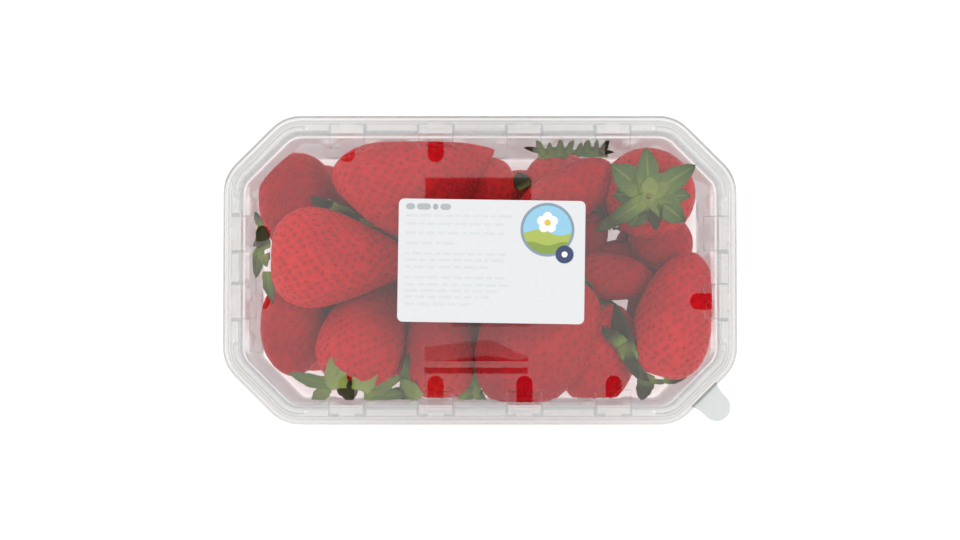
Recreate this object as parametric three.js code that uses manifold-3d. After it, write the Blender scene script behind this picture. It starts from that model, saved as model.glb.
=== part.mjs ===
// A closed punnet of strawberries: a thermoformed clear tray with a flanged rim, a clear press-on lid
// with a raised panel, twelve air slots and a corner tab, a paper label on the lid, and the heap of
// berries inside. Millimetres, +Z up, X along the long side, origin under the middle of the tray.
import * as THREE from 'three';
import { mergeVertices } from 'three/addons/utils/BufferGeometryUtils.js';
import Module from 'manifold-3d';

const wasm = await Module();
wasm.setup();

// ---- driving dimensions -------------------------------------------------------------------------
const LENGTH = 190; // over the lid's flange
const WIDTH = 114.5;
const CHAMFER = 22.3; // leg of each cut corner
const CORNER_RADIUS = 15; // rounding where a side meets a cut corner
const SHEET = 0.6; // wall of the formed plastic
const GAP = 0.3; // between touching pieces

const RIM_Z = 66; // top of the tray's flange
const TRAY_FLANGE = [1.6, 6.4]; // outer and inner edge, measured in from the lid's outline
const TRAY_LIP_DROP = 2.6; // turned-down edge of the flange
const FLOOR_INSET = 10.4; // where the wall meets the floor
const FLOOR_RADIUS = 3.5;
const STEP_Z = 56; // stacking shoulder in the tray's wall
const STEP_IN = 0.8;

const LID_Z = RIM_Z + GAP; // underside of the lid's flange
const SKIRT_DROP = 3.2; // the lid's edge reaches this far below the flange
const RIDGE = { width: 2.7, height: 0.9 }; // raised bead round the lid's edge
const PANEL_Z = 75; // top of the raised panel
const PANEL_INSET = 9.6;
const WALL_FOOT = 5.5; // inset where the lid's wall rises from the flange
const WALL_BEND = [6.6, 71.2]; // the wall's bend: inset and height
const LUG = { width: 13, outer: 3.7, inner: 12.8, rise: 0.7, draft: 0.7 }; // raised round each air slot
const SLOT = { width: 6, from: 3, to: 18 }; // air slots, measured in from the outline
const LONG_SIDE_SLOTS = [-49, -16.3, 16.3, 49];
const SHORT_SIDE_SLOTS = [-12, 13];

const FLUTE = { width: 7, depth: 1.1, bottom: 9, top: 50 };
const LONG_SIDE_FLUTES = 8;
const SHORT_SIDE_FLUTES = 4;
const FLUTE_PITCH = 16.3;

const TAB = { x: 87.3, y: -50.7, radius: 5.2, root: 13, rootInset: 2.5 };
const LABEL = { x: 4.2, y: 2.7, length: 68.6, width: 45.3, thick: 0.3, radius: 2, turn: -0.85 };

const BERRY_SIDES = 11;
const LOWER_BERRY_SIDES = 8;
const HEAP_EASE = 0.5; // how far a fused solid's surface may move as its facets are thinned out
const SHELL_EASE = 0.03;
const LEAF = { length: 13, width: 6.5, thick: 1.3, count: 7 };

// Each berry: middle of the calyx end, tip, largest width, and how blunt it is (0 pointed, 1 round).
// The upper berries show from above.
const UPPER_BERRIES = {
  left_back: { base: [-66, 10, 26], tip: [-70.5, 44.5, 36], width: 27.5, blunt: 0.85 },
  back: { base: [-43.5, 26.5, 46], tip: [4, 46.4, 47], width: 38.5, blunt: 0.1, calyx: true },
  left_big: { base: [-80, 5.5, 49], tip: [-20.5, 3.5, 49], width: 37.7, blunt: 0.05, calyx: true },
  left_front: { base: [-70, -2, 25], tip: [-71.5, -38.5, 30], width: 27, blunt: 0.85 },
  front_left: { base: [-50.5, -43.5, 44], tip: [-36.5, -3.5, 36], width: 34, blunt: 0.6, calyx: true },
  front_mid: { base: [-14, -46, 38], tip: [-17, -6.5, 42], width: 25, blunt: 0.6, calyx: true },
  front_big: { base: [19, -4.5, 47], tip: [15.5, -49.7, 44], width: 44, blunt: 0.75 },
  front_low: { base: [43.5, -46, 36], tip: [45, -7.5, 41], width: 28, blunt: 0.6 },
  right_big: { base: [67, -40.5, 46], tip: [83, 8, 49], width: 30, blunt: 0.45, calyx: true },
  right_mid: { base: [33, 0.5, 40], tip: [65.7, -2.5, 41], width: 17, blunt: 0.9 },
  right_back: { base: [63, 29, 61], tip: [65, 31.5, 22], width: 35, blunt: 0.6, calyx: true },
  back_right: { base: [14.5, 17.5, 47], tip: [49.5, 40.5, 50], width: 25, blunt: 0.9 },
  back_low: { base: [31.5, 45, 42], tip: [28, 14, 27], width: 27, blunt: 0.4, calyx: true },
  back_mid: { base: [14.5, 35, 40], tip: [-13.5, 26.5, 36], width: 25, blunt: 0.5, calyx: true },
  right_low: { base: [60, 19.5, 27], tip: [80.5, 9, 42], width: 23, blunt: 0.8 },
};
const LOWER_BERRIES = {
  floor_1: { base: [-79, 26, 18], tip: [-44, 36, 17], width: 27, blunt: 0.5 },
  floor_2: { base: [-41, 4, 16], tip: [-81, 1, 18], width: 29, blunt: 0.4 },
  floor_3: { base: [-79, -28, 17], tip: [-44, -36, 17], width: 27, blunt: 0.5 },
  floor_4: { base: [-3, -36, 17], tip: [-39, -30, 17], width: 28, blunt: 0.6 },
  floor_5: { base: [-4, -8, 17], tip: [-38, -13, 17], width: 26, blunt: 0.4 },
  floor_6: { base: [-40, 34, 18], tip: [-4, 36, 17], width: 29, blunt: 0.5 },
  floor_7: { base: [-34, 13, 16], tip: [2, 13, 16], width: 25, blunt: 0.5 },
  floor_8: { base: [2, -36, 17], tip: [37, -36, 17], width: 28, blunt: 0.5 },
  floor_9: { base: [44, -8, 17], tip: [6, -8, 17], width: 28, blunt: 0.4 },
  floor_10: { base: [2, 33, 17], tip: [40, 36, 17], width: 28, blunt: 0.5 },
  floor_11: { base: [8, 12, 17], tip: [43, 13, 16], width: 24, blunt: 0.4 },
  floor_12: { base: [74, -34, 17], tip: [40, -37, 16], width: 27, blunt: 0.4 },
  floor_13: { base: [82, -9, 18], tip: [60, 8, 17], width: 25, blunt: 0.7 },
  floor_14: { base: [46, 36, 17], tip: [80, 28, 17], width: 27, blunt: 0.5 },
};
const CORE = { inset: 26, bottom: 10, top: 36 };

// ---- shared geometry helpers --------------------------------------------------------------------

// Points of the punnet's outline moved in by inset: a rectangle with cut corners, rounded.
function outline(inset, arcSteps = 3) {
  const halfX = LENGTH / 2 - inset;
  const halfY = WIDTH / 2 - inset;
  const leg = CHAMFER - inset * (2 - Math.SQRT2);
  const radius = Math.max(CORNER_RADIUS - inset, 3);
  const corners = [
    [halfX, -halfY + leg], [halfX, halfY - leg], [halfX - leg, halfY], [-halfX + leg, halfY],
    [-halfX, halfY - leg], [-halfX, -halfY + leg], [-halfX + leg, -halfY], [halfX - leg, -halfY],
  ].map(([x, y]) => new THREE.Vector2(x, y));
  const tangent = radius * Math.tan(Math.PI / 8);
  const points = [];
  corners.forEach((corner, i) => {
    const before = corners[(i + 7) % 8].clone().sub(corner).normalize();
    const after = corners[(i + 1) % 8].clone().sub(corner).normalize();
    const middle = before.clone().add(after).normalize();
    const centre = corner.clone().addScaledVector(middle, radius / Math.cos(Math.PI / 8));
    const from = corner.clone().addScaledVector(before, tangent).sub(centre).angle();
    for (let k = 0; k <= arcSteps; k++) {
      const angle = from + (Math.PI / 4) * (k / arcSteps);
      points.push([centre.x + radius * Math.cos(angle), centre.y + radius * Math.sin(angle)]);
    }
  });
  return points;
}

// A solid through stacked closed loops of equal point counts, each loop an array of [x, y, z].
function loftGeometry(loops) {
  const count = loops[0].length;
  const positions = loops.flat(2);
  const triangles = [];
  for (let ring = 0; ring + 1 < loops.length; ring++) {
    for (let k = 0; k < count; k++) {
      const next = (k + 1) % count;
      const a = ring * count + k;
      const b = ring * count + next;
      triangles.push(a, b, b + count, a, b + count, a + count);
    }
  }
  const last = (loops.length - 1) * count;
  for (let k = 1; k + 1 < count; k++) {
    triangles.push(0, k + 1, k, last, last + k, last + k + 1);
  }
  const geometry = new THREE.BufferGeometry();
  geometry.setAttribute('position', new THREE.Float32BufferAttribute(positions, 3));
  geometry.setIndex(triangles);
  return geometry;
}

function solid(geometry) {
  const bare = geometry.clone();
  bare.deleteAttribute('normal');
  bare.deleteAttribute('uv');
  const merged = mergeVertices(bare, 1e-3);
  return new wasm.Manifold(new wasm.Mesh({
    numProp: 3,
    vertProperties: new Float32Array(merged.attributes.position.array),
    triVerts: new Uint32Array(merged.index.array),
  }));
}

function join(solids) {
  return solids.reduce((whole, piece) => whole.add(piece));
}

// The made solid with its facets thinned out: no surface moves by more than ease.
function thinned(made, ease) {
  return made.asOriginal().simplify(ease);
}

// A hollow shut in between fused pieces comes out of this as a body of its own, and is left behind.
function largestBody(made) {
  const bodies = solid(geometryOf(made)).decompose();
  return bodies.sort((a, b) => b.volume() - a.volume())[0];
}

function geometryOf(made) {
  const mesh = made.getMesh();
  const geometry = new THREE.BufferGeometry();
  const positions = new Float32Array(mesh.numVert * 3);
  for (let i = 0; i < mesh.numVert; i++) {
    positions.set(mesh.vertProperties.subarray(i * mesh.numProp, i * mesh.numProp + 3), i * 3);
  }
  geometry.setAttribute('position', new THREE.BufferAttribute(positions, 3));
  geometry.setIndex(new THREE.BufferAttribute(new Uint32Array(mesh.triVerts), 1));
  geometry.computeVertexNormals();
  return geometry;
}

// A solid through outlines stacked by rows of [inset, z].
function stack(rows) {
  return solid(loftGeometry(rows.map(([inset, z]) => outline(inset).map(([x, y]) => [x, y, z]))));
}

// Puts a shape drawn against the back side (its outline at y = 0, inwards is -Y) on one side.
// side: 0 back, 1 left, 2 front, 3 right; along is the place on that side.
function onSide(geometry, side, along) {
  const reach = side % 2 ? LENGTH / 2 : WIDTH / 2;
  const placed = geometry.clone().translate(0, reach, 0).rotateZ((side * Math.PI) / 2);
  return side % 2 ? placed.translate(0, along, 0) : placed.translate(along, 0, 0);
}

// Calls make(side, along) for every air slot.
function atEachSlot(make) {
  return [0, 1, 2, 3].flatMap((side) =>
    (side % 2 ? SHORT_SIDE_SLOTS : LONG_SIDE_SLOTS).map((along) => make(side, along)));
}

// ---- the tray -----------------------------------------------------------------------------------

// How far in the tray's outer wall lies at height z.
function wallInset(z) {
  const slope = (FLOOR_INSET - TRAY_FLANGE[1] - STEP_IN) / STEP_Z;
  return z > STEP_Z ? TRAY_FLANGE[1] : TRAY_FLANGE[1] + STEP_IN + (STEP_Z - z) * slope;
}

// A rounded groove in the tray's wall, grown all round by extra for the inner face.
function flute(extra) {
  const rows = [
    [FLUTE.bottom - extra, 0.1], [FLUTE.bottom + 3, 1], [FLUTE.top - 3, 1], [FLUTE.top + extra, 0.1],
  ];
  const loops = rows.map(([z, share]) => {
    const half = (FLUTE.width / 2) * (0.55 + 0.45 * share) + extra;
    const floor = -wallInset(z) - FLUTE.depth * share - extra;
    return [[half, 0, z], [half, floor + 1, z], [half * 0.45, floor, z], [-half * 0.45, floor, z],
      [-half, floor + 1, z], [-half, 0, z]].reverse();
  });
  return loftGeometry(loops);
}

function flutes(extra) {
  return join([0, 1, 2, 3].flatMap((side) => {
    const count = side % 2 ? SHORT_SIDE_FLUTES : LONG_SIDE_FLUTES;
    return Array.from({ length: count }, (_, i) =>
      solid(onSide(flute(extra), side, (i - (count - 1) / 2) * FLUTE_PITCH)));
  }));
}

// The raised middle of the floor, and the drain slots through it.
function floorKick(extra) {
  return stack([[FLOOR_INSET + 7 - extra, -1], [FLOOR_INSET + 9 - extra, 2.4 + extra]]);
}

function drains() {
  const slot = new THREE.Shape();
  slot.absarc(9, 0, 2, -Math.PI / 2, Math.PI / 2);
  slot.absarc(-9, 0, 2, Math.PI / 2, (3 * Math.PI) / 2);
  const cut = new THREE.ExtrudeGeometry(slot, { depth: 6, bevelEnabled: false, curveSegments: 4 });
  const places = [-50, 0, 50].flatMap((x) => [-22, 22].map((y) => [x, y]));
  return join(places.map(([x, y]) => solid(cut.clone().translate(x, y, -1))));
}

function tray() {
  const wall = (extra, floorZ, topZ) => [
    [FLOOR_INSET + FLOOR_RADIUS + extra, floorZ],
    [FLOOR_INSET + FLOOR_RADIUS * 0.3 + extra, floorZ + FLOOR_RADIUS * 0.3],
    [FLOOR_INSET + extra - 0.1, floorZ + FLOOR_RADIUS],
    [wallInset(STEP_Z) + extra, STEP_Z],
    [TRAY_FLANGE[1] + extra, STEP_Z + 1],
    [TRAY_FLANGE[1] + extra, topZ],
  ];
  const flange = stack([
    [TRAY_FLANGE[0], RIM_Z - TRAY_LIP_DROP], [TRAY_FLANGE[0], RIM_Z - 0.4], [TRAY_FLANGE[0] + 0.4, RIM_Z],
  ]).subtract(stack([
    [TRAY_FLANGE[0] + SHEET, RIM_Z - TRAY_LIP_DROP - 1], [TRAY_FLANGE[0] + SHEET, RIM_Z - SHEET],
  ]));
  const outside = stack(wall(0, 0, RIM_Z)).subtract(flutes(0)).subtract(floorKick(0));
  const inside = stack(wall(SHEET, SHEET, RIM_Z + 1)).subtract(flutes(SHEET)).subtract(floorKick(SHEET));
  return thinned(flange.add(outside).subtract(inside).subtract(drains()), SHELL_EASE);
}

// ---- the lid ------------------------------------------------------------------------------------

// A raised block over one air slot, shrunk all round by extra for the lid's inner face.
function lug(extra) {
  const top = PANEL_Z + LUG.rise - extra;
  const ring = (grow, z) => {
    const half = LUG.width / 2 - extra + grow;
    const outer = -LUG.outer - extra + grow;
    const inner = -LUG.inner + extra - grow;
    return [[-half, inner, z], [half, inner, z], [half, outer, z], [-half, outer, z]];
  };
  return loftGeometry([ring(LUG.draft, LID_Z - 1), ring(0, top)]);
}

function airSlot() {
  const half = SLOT.width / 2;
  const shape = new THREE.Shape();
  shape.moveTo(half, -SLOT.from);
  shape.lineTo(-half, -SLOT.from);
  shape.absarc(0, half - SLOT.to, half, Math.PI, 2 * Math.PI);
  shape.closePath();
  const foot = LID_Z + SHEET + RIDGE.height + GAP;
  return new THREE.ExtrudeGeometry(shape, { depth: PANEL_Z + 2 - foot, bevelEnabled: false, curveSegments: 6 })
    .translate(0, 0, foot);
}

function tab() {
  const shape = new THREE.Shape();
  const root = TAB.root / 2;
  shape.moveTo(root, 0);
  shape.quadraticCurveTo(TAB.radius, 2, TAB.radius, 8);
  shape.absarc(0, 8, TAB.radius, 0, Math.PI);
  shape.quadraticCurveTo(-TAB.radius, 2, -root, 0);
  shape.closePath();
  return new THREE.ExtrudeGeometry(shape, { depth: SHEET, bevelEnabled: false, curveSegments: 6 })
    .translate(0, -8, 0)
    .rotateZ((-3 * Math.PI) / 4)
    .translate(TAB.x, TAB.y, LID_Z);
}

function lid() {
  const skin = (extra) => [
    [extra, LID_Z - SKIRT_DROP - extra],
    [extra, LID_Z + SHEET + RIDGE.height - 0.6 - extra],
    [extra + 0.6, LID_Z + SHEET + RIDGE.height - extra],
    [RIDGE.width - extra, LID_Z + SHEET + RIDGE.height - extra],
    [RIDGE.width + 0.5 - extra, LID_Z + SHEET - extra],
    [WALL_FOOT + extra, LID_Z + SHEET - extra],
    [WALL_BEND[0] + extra, WALL_BEND[1] - extra * 0.5],
    [PANEL_INSET - 1.4 + extra, PANEL_Z - 0.5 - extra],
    [PANEL_INSET + extra, PANEL_Z - extra],
  ];
  const lugs = (extra) => join(atEachSlot((side, along) => solid(onSide(lug(extra), side, along))));
  const below = stack([[0, LID_Z - SKIRT_DROP - 5], [0, LID_Z - SHEET]]);
  const outside = stack(skin(0)).add(lugs(0).subtract(below));
  const inside = stack(skin(SHEET)).add(lugs(SHEET).intersect(stack([[0, LID_Z], [0, PANEL_Z + 1]])));
  const slots = join(atEachSlot((side, along) => solid(onSide(airSlot(), side, along))));
  return thinned(outside.subtract(inside).subtract(slots).add(solid(tab())), SHELL_EASE);
}

// ---- the label ----------------------------------------------------------------------------------

function labelGeometry() {
  const { length, width, radius } = LABEL;
  const shape = new THREE.Shape();
  shape.absarc(length / 2 - radius, width / 2 - radius, radius, 0, Math.PI / 2);
  shape.absarc(-length / 2 + radius, width / 2 - radius, radius, Math.PI / 2, Math.PI);
  shape.absarc(-length / 2 + radius, -width / 2 + radius, radius, Math.PI, 1.5 * Math.PI);
  shape.absarc(length / 2 - radius, -width / 2 + radius, radius, 1.5 * Math.PI, 2 * Math.PI);
  shape.closePath();
  return new THREE.ExtrudeGeometry(shape, { depth: LABEL.thick, bevelEnabled: false, curveSegments: 3 });
}

// ---- the berries --------------------------------------------------------------------------------

// Share of the full half width at t along the berry, from the calyx end (0) to the tip (1).
function berryProfile(t, blunt) {
  const widest = 0.3 + 0.16 * blunt;
  if (t < widest) {
    return (1 - (1 - t / widest) ** 2.4) ** 0.5;
  }
  const u = (t - widest) / (1 - widest);
  return (1 - u ** (1.35 + blunt)) ** (0.95 - 0.45 * blunt);
}

// Turns a shape drawn along +Z so that it runs from base towards tip.
function alongBerry(geometry, berry) {
  const base = new THREE.Vector3(...berry.base);
  const axis = new THREE.Vector3(...berry.tip).sub(base).normalize();
  const turn = new THREE.Quaternion().setFromUnitVectors(new THREE.Vector3(0, 0, 1), axis);
  return geometry.applyQuaternion(turn).translate(...berry.base);
}

function berryLength(berry) {
  return new THREE.Vector3(...berry.base).distanceTo(new THREE.Vector3(...berry.tip));
}

function berrySolid(berry, sides) {
  const stops = [0.04, 0.14, 0.34, 0.58, 0.78, 0.93];
  const length = berryLength(berry);
  const profile = [new THREE.Vector2(0, 0)];
  stops.forEach((t) => profile.push(new THREE.Vector2((berry.width / 2) * berryProfile(t, berry.blunt), t * length)));
  profile.push(new THREE.Vector2(0, length));
  // the lathe turns about +Y, so the berry's length is laid along +Z afterwards
  return solid(alongBerry(new THREE.LatheGeometry(profile, sides).rotateX(Math.PI / 2), berry));
}

// The calyx: thin pointed leaves that lie out over the berry's shoulder.
function calyxSolid(berry) {
  const leaf = (turn) => {
    const section = (out, half, drop) => [
      [-half, out, drop], [0, out, drop + LEAF.thick / 2], [half, out, drop], [0, out, drop - LEAF.thick / 2],
    ];
    const geometry = loftGeometry([
      section(1, 1.6, 0.8), section(LEAF.length * 0.5, LEAF.width / 2, -0.8), section(LEAF.length, 0.3, 0.9),
    ]);
    return solid(alongBerry(geometry.rotateZ(turn), berry));
  };
  const hub = new THREE.CylinderGeometry(2, 2.6, 4, 6).rotateX(Math.PI / 2);
  const leaves = Array.from({ length: LEAF.count }, (_, i) => leaf((i / LEAF.count) * 2 * Math.PI));
  return join([solid(alongBerry(hub, berry)), ...leaves]);
}

// The room inside the shut punnet, kept clear of the walls and flutes.
function insideRoom() {
  const clear = SHEET + FLUTE.depth + 2 * GAP;
  return stack([
    [FLOOR_INSET + FLOOR_RADIUS + clear, 2.4 + SHEET + GAP],
    [FLOOR_INSET + clear, 6],
    [wallInset(STEP_Z) + clear, STEP_Z],
    [wallInset(STEP_Z) + clear, RIM_Z],
    [PANEL_INSET + clear, PANEL_Z - SHEET - 2 * GAP],
  ]);
}

function berries() {
  const upper = Object.values(UPPER_BERRIES);
  const lower = Object.values(LOWER_BERRIES);
  const core = stack([[CORE.inset, CORE.bottom], [CORE.inset, CORE.top]]);
  const fruit = join([
    core,
    ...upper.map((berry) => berrySolid(berry, BERRY_SIDES)),
    ...lower.map((berry) => berrySolid(berry, LOWER_BERRY_SIDES)),
  ]);
  const leaves = join(upper.filter((berry) => berry.calyx).map(calyxSolid));
  return largestBody(thinned(fruit, HEAP_EASE).add(leaves).intersect(insideRoom()));
}

// ---- the scene graph ----------------------------------------------------------------------------

const clearPlastic = new THREE.MeshStandardMaterial({
  color: 0xe6ebea, roughness: 0.08, metalness: 0, transparent: true, opacity: 0.25,
});
const berryRed = new THREE.MeshStandardMaterial({ color: 0xb3121a, roughness: 0.4, metalness: 0 });
const paper = new THREE.MeshStandardMaterial({ color: 0xf4f5f6, roughness: 0.6, metalness: 0 });

function node(name, geometry, material) {
  const mesh = new THREE.Mesh(geometry, material);
  mesh.name = name;
  return mesh;
}

const punnet = new THREE.Group();
const label = node('label', labelGeometry(), paper);
label.position.set(LABEL.x, LABEL.y, PANEL_Z + GAP);
label.rotation.z = THREE.MathUtils.degToRad(LABEL.turn);
punnet.add(
  node('tray', geometryOf(tray()), clearPlastic),
  node('lid', geometryOf(lid()), clearPlastic),
  node('berries', geometryOf(berries()), berryRed),
  label,
);

export default punnet;
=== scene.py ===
# %% [markdown]
# # A shut punnet of strawberries
# The real thing is two thin sheets of clear plastic, each formed warm over a mould, shut round a heap of
# strawberries, with a paper label stuck on the lid. The solids give its sizes and its places; this lesson
# gives it its looks: film that greys where it is seen on edge, moist red skin with seeds in pits, thin
# green leaves, ink on paper. Sizes are in millimetres and are turned to metres as a mesh is made.

import math

import bpy
import numpy as np
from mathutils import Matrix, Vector


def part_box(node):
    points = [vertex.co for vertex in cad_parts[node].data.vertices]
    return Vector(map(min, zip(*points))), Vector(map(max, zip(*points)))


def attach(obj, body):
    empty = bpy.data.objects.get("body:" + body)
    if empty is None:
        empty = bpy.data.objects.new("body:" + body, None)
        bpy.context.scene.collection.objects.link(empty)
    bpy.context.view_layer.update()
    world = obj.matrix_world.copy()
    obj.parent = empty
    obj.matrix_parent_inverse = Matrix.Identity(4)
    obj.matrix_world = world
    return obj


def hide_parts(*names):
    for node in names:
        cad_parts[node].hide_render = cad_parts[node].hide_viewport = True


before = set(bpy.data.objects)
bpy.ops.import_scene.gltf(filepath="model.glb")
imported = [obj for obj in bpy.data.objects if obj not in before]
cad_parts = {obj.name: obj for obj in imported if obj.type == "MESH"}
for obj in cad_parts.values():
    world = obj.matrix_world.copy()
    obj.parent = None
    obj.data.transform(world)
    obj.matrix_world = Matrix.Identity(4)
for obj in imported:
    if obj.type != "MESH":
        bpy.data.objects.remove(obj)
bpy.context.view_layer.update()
MM = 0.001
print("nodes:", sorted(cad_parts))

# %% Sizes taken from the solids
tray_high = np.array(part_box("tray")[1]) / MM
lid_low, lid_high = (np.array(corner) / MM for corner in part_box("lid"))
LENGTH, WIDTH = (lid_high - lid_low)[:2]
RIM_Z = tray_high[2]  # top of the tray's flange
LUG_TOP = lid_high[2]  # top of the raised blocks round the lid's air slots
SKIRT_FOOT = lid_low[2]  # lower edge of the lid
SHEET = 0.4  # thickness of the formed film
HALF_SHEET = SHEET / 2
print(f"length {LENGTH:.1f}, width {WIDTH:.1f}, rim {RIM_Z:.1f}, lid top {LUG_TOP:.1f}")

# %% [markdown]
# ## Camera, light and floor
# A pack like this is shown from straight above, a few degrees forward, through a long lens that keeps its
# sides upright. The light is a white room: the film then shows as pale haze where it faces up, and as grey
# lines where it stands on edge. Lamps close above would mirror in the lid as two hard patches, so two wide
# soft ones stand low at the left and right, where they only brighten the berries' outer cheeks. Two dark
# cards high above are what the flat lid mirrors as clearer windows in the haze.

# %% Camera
VIEW_ELEVATION = math.radians(87)
VIEW_DISTANCE = 1200.0
VIEW_WIDTH = 355.2  # how much of the rim's plane the frame takes in
SENSOR = 36.0

camera_data = bpy.data.cameras.new("camera")
camera_data.sensor_width = SENSOR
camera_data.lens = SENSOR * VIEW_DISTANCE / VIEW_WIDTH
camera = bpy.data.objects.new("camera", camera_data)
camera.location = (
    0,
    -VIEW_DISTANCE * math.cos(VIEW_ELEVATION) * MM,
    (RIM_Z + VIEW_DISTANCE * math.sin(VIEW_ELEVATION)) * MM,
)
camera.rotation_euler = (math.pi / 2 - VIEW_ELEVATION, 0, 0)
bpy.context.scene.collection.objects.link(camera)
bpy.context.scene.camera = camera
bpy.context.scene.view_settings.view_transform = "Standard"
CLEAR_FACES = 40  # a ray through the pack's corner meets this many faces of film before it ends
bpy.context.scene.cycles.transparent_max_bounces = CLEAR_FACES
print(f"lens {camera_data.lens:.1f} mm, at", [round(v, 3) for v in camera.location])

# %% Helpers for colours and nodes
def linear(code):
    """An sRGB colour such as "#c01020" as the linear red, green, blue and alpha that shaders take."""
    shares = [int(code[i : i + 2], 16) / 255 for i in (1, 3, 5)]
    return tuple(s / 12.92 if s <= 0.04045 else ((s + 0.055) / 1.055) ** 2.4 for s in shares) + (1.0,)


def add_node(tree, kind, inputs=(), **settings):
    """Adds a node. settings are its own options; inputs gives sockets a value or another node's socket."""
    node = tree.nodes.new(kind)
    for name, value in settings.items():
        setattr(node, name, value)
    for key, value in dict(inputs).items():
        if isinstance(value, bpy.types.NodeSocket):
            tree.links.new(value, node.inputs[key])
        else:
            node.inputs[key].default_value = value
    return node


def new_material(name):
    """A material without a shader yet, and its node tree."""
    material = bpy.data.materials.new(name)
    material.use_nodes = True
    material.node_tree.nodes.clear()
    return material, material.node_tree


def show(tree, shader):
    """Makes shader what the material shows."""
    add_node(tree, "ShaderNodeOutputMaterial", {"Surface": shader})


def grain(size):
    """The Scale of a noise whose patches are about this many millimetres wide."""
    return 1 / (size * MM)


print("linear mid grey:", [round(v, 3) for v in linear("#808080")])

# %% White room
ROOM_LOW, ROOM_HIGH = linear("#c9cbcc"), linear("#ffffff")  # light from level and from above
ROOM_STRENGTH = 0.92

world = bpy.data.worlds.new("white_room")
world.use_nodes = True
world.node_tree.nodes.clear()
sky = add_node(world.node_tree, "ShaderNodeTexCoord")
height = add_node(world.node_tree, "ShaderNodeSeparateXYZ", {0: sky.outputs["Generated"]})
room = add_node(world.node_tree, "ShaderNodeValToRGB", {"Fac": height.outputs["Z"]})
room.color_ramp.elements[0].color = ROOM_LOW
room.color_ramp.elements[1].color = ROOM_HIGH
room.color_ramp.elements[1].position = 0.7
background = add_node(
    world.node_tree,
    "ShaderNodeBackground",
    {"Color": room.outputs["Color"], "Strength": ROOM_STRENGTH},
)
add_node(world.node_tree, "ShaderNodeOutputWorld", {"Surface": background.outputs[0]})
bpy.context.scene.world = world
print("room strength", ROOM_STRENGTH)

# %% Lamps
LAMP_REACH, LAMP_HEIGHT = 0.75, 0.62  # metres, from the pack's middle
LAMP_WIDTH, LAMP_LENGTH = 0.5, 0.9
LAMP_POWER = 2.6
LAMP_AIM = Vector((0, 0, 0.04))

for name, side in (("lamp_left", -1), ("lamp_right", 1)):
    lamp_data = bpy.data.lights.new(name, "AREA")
    lamp_data.shape = "RECTANGLE"
    lamp_data.size, lamp_data.size_y = LAMP_WIDTH, LAMP_LENGTH
    lamp_data.energy = LAMP_POWER
    lamp = bpy.data.objects.new(name, lamp_data)
    lamp.location = (side * LAMP_REACH, 0.0, LAMP_HEIGHT)
    lamp.rotation_euler = (LAMP_AIM - lamp.location).to_track_quat("-Z", "Y").to_euler()
    bpy.context.scene.collection.objects.link(lamp)
    print(name, "at", [round(v, 2) for v in lamp.location], LAMP_POWER, "W")


# %% Helpers for meshes
def make_mesh(name, points, faces, materials, smooth=True, choice=None):
    """A mesh object from points in millimetres. choice says which material each face takes."""
    mesh = bpy.data.meshes.new(name)
    mesh.from_pydata((np.asarray(points, float) * MM).tolist(), [], faces)
    for material in materials:
        mesh.materials.append(material)
    mesh.polygons.foreach_set("use_smooth", [smooth] * len(mesh.polygons))
    if choice is not None:
        mesh.polygons.foreach_set("material_index", choice)
    piece = bpy.data.objects.new(name, mesh)
    bpy.context.scene.collection.objects.link(piece)
    return piece


def add_facts(piece, facts):
    """Stores numbers of the piece's points, by name, for its material to read."""
    for fact, values in facts.items():
        layer = piece.data.attributes.new(fact, "FLOAT", "POINT")
        layer.data.foreach_set("value", np.asarray(values, np.float32))


def flat_card(name, corners, z, material):
    """A flat card with the given corners, anticlockwise, that lies level at height z."""
    points = [(x, y, z) for x, y in corners]
    return make_mesh(name, points, [list(range(len(points)))], [material], smooth=False)


print("meshes are made in millimetres, 1 mm =", MM, "m")

# %% White table top
# Painted board, which glows a little so that it stays white under the pack. It is stage.
FLOOR_HALF = 4500
FLOOR_Z = -0.05
FLOOR_GLOW = 0.42

board, tree = new_material("white_painted_board")
brushed = add_node(tree, "ShaderNodeTexNoise", {"Scale": grain(16.7), "Detail": 2.0}).outputs["Fac"]
tone = add_node(
    tree,
    "ShaderNodeMix",
    {0: brushed, 6: linear("#f4f4f4"), 7: linear("#f8f8f8")},
    data_type="RGBA",
).outputs[2]
surface = add_node(
    tree,
    "ShaderNodeBsdfPrincipled",
    {
        "Base Color": tone,
        "Roughness": 0.8,
        "Specular IOR Level": 0.1,
        "Emission Color": linear("#ffffff"),
        "Emission Strength": FLOOR_GLOW,
    },
)
show(tree, surface.outputs[0])
floor_corners = [(x * FLOOR_HALF, y * FLOOR_HALF) for x, y in ((-1, -1), (1, -1), (1, 1), (-1, 1))]
floor = flat_card("floor", floor_corners, FLOOR_Z, board)
print("floor at", FLOOR_Z, "mm")

# %% Dark cards that the lid mirrors
# They are stage too. The lid shows them as two clearer windows near its middle, 2.6 times smaller.
CARD_HEIGHT = 2000
CARDS = {
    "card_above_back": [(-52.8, 51.9), (49.2, 51.9), (49.2, 189.5), (-52.8, 189.5)],
    "card_above_front": [(-53, 0.8), (46, 0.8), (46, 17.5), (28, 22), (9, 25), (-14, 23), (-53, 17.5)],
}

black_card, tree = new_material("black_card")
surface = add_node(tree, "ShaderNodeBsdfPrincipled", {"Base Color": linear("#0a0a0a"), "Roughness": 0.9})
show(tree, surface.outputs[0])
for name, corners in CARDS.items():
    flat_card(name, corners, CARD_HEIGHT, black_card)
print(len(CARDS), "cards at", CARD_HEIGHT, "mm")

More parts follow.
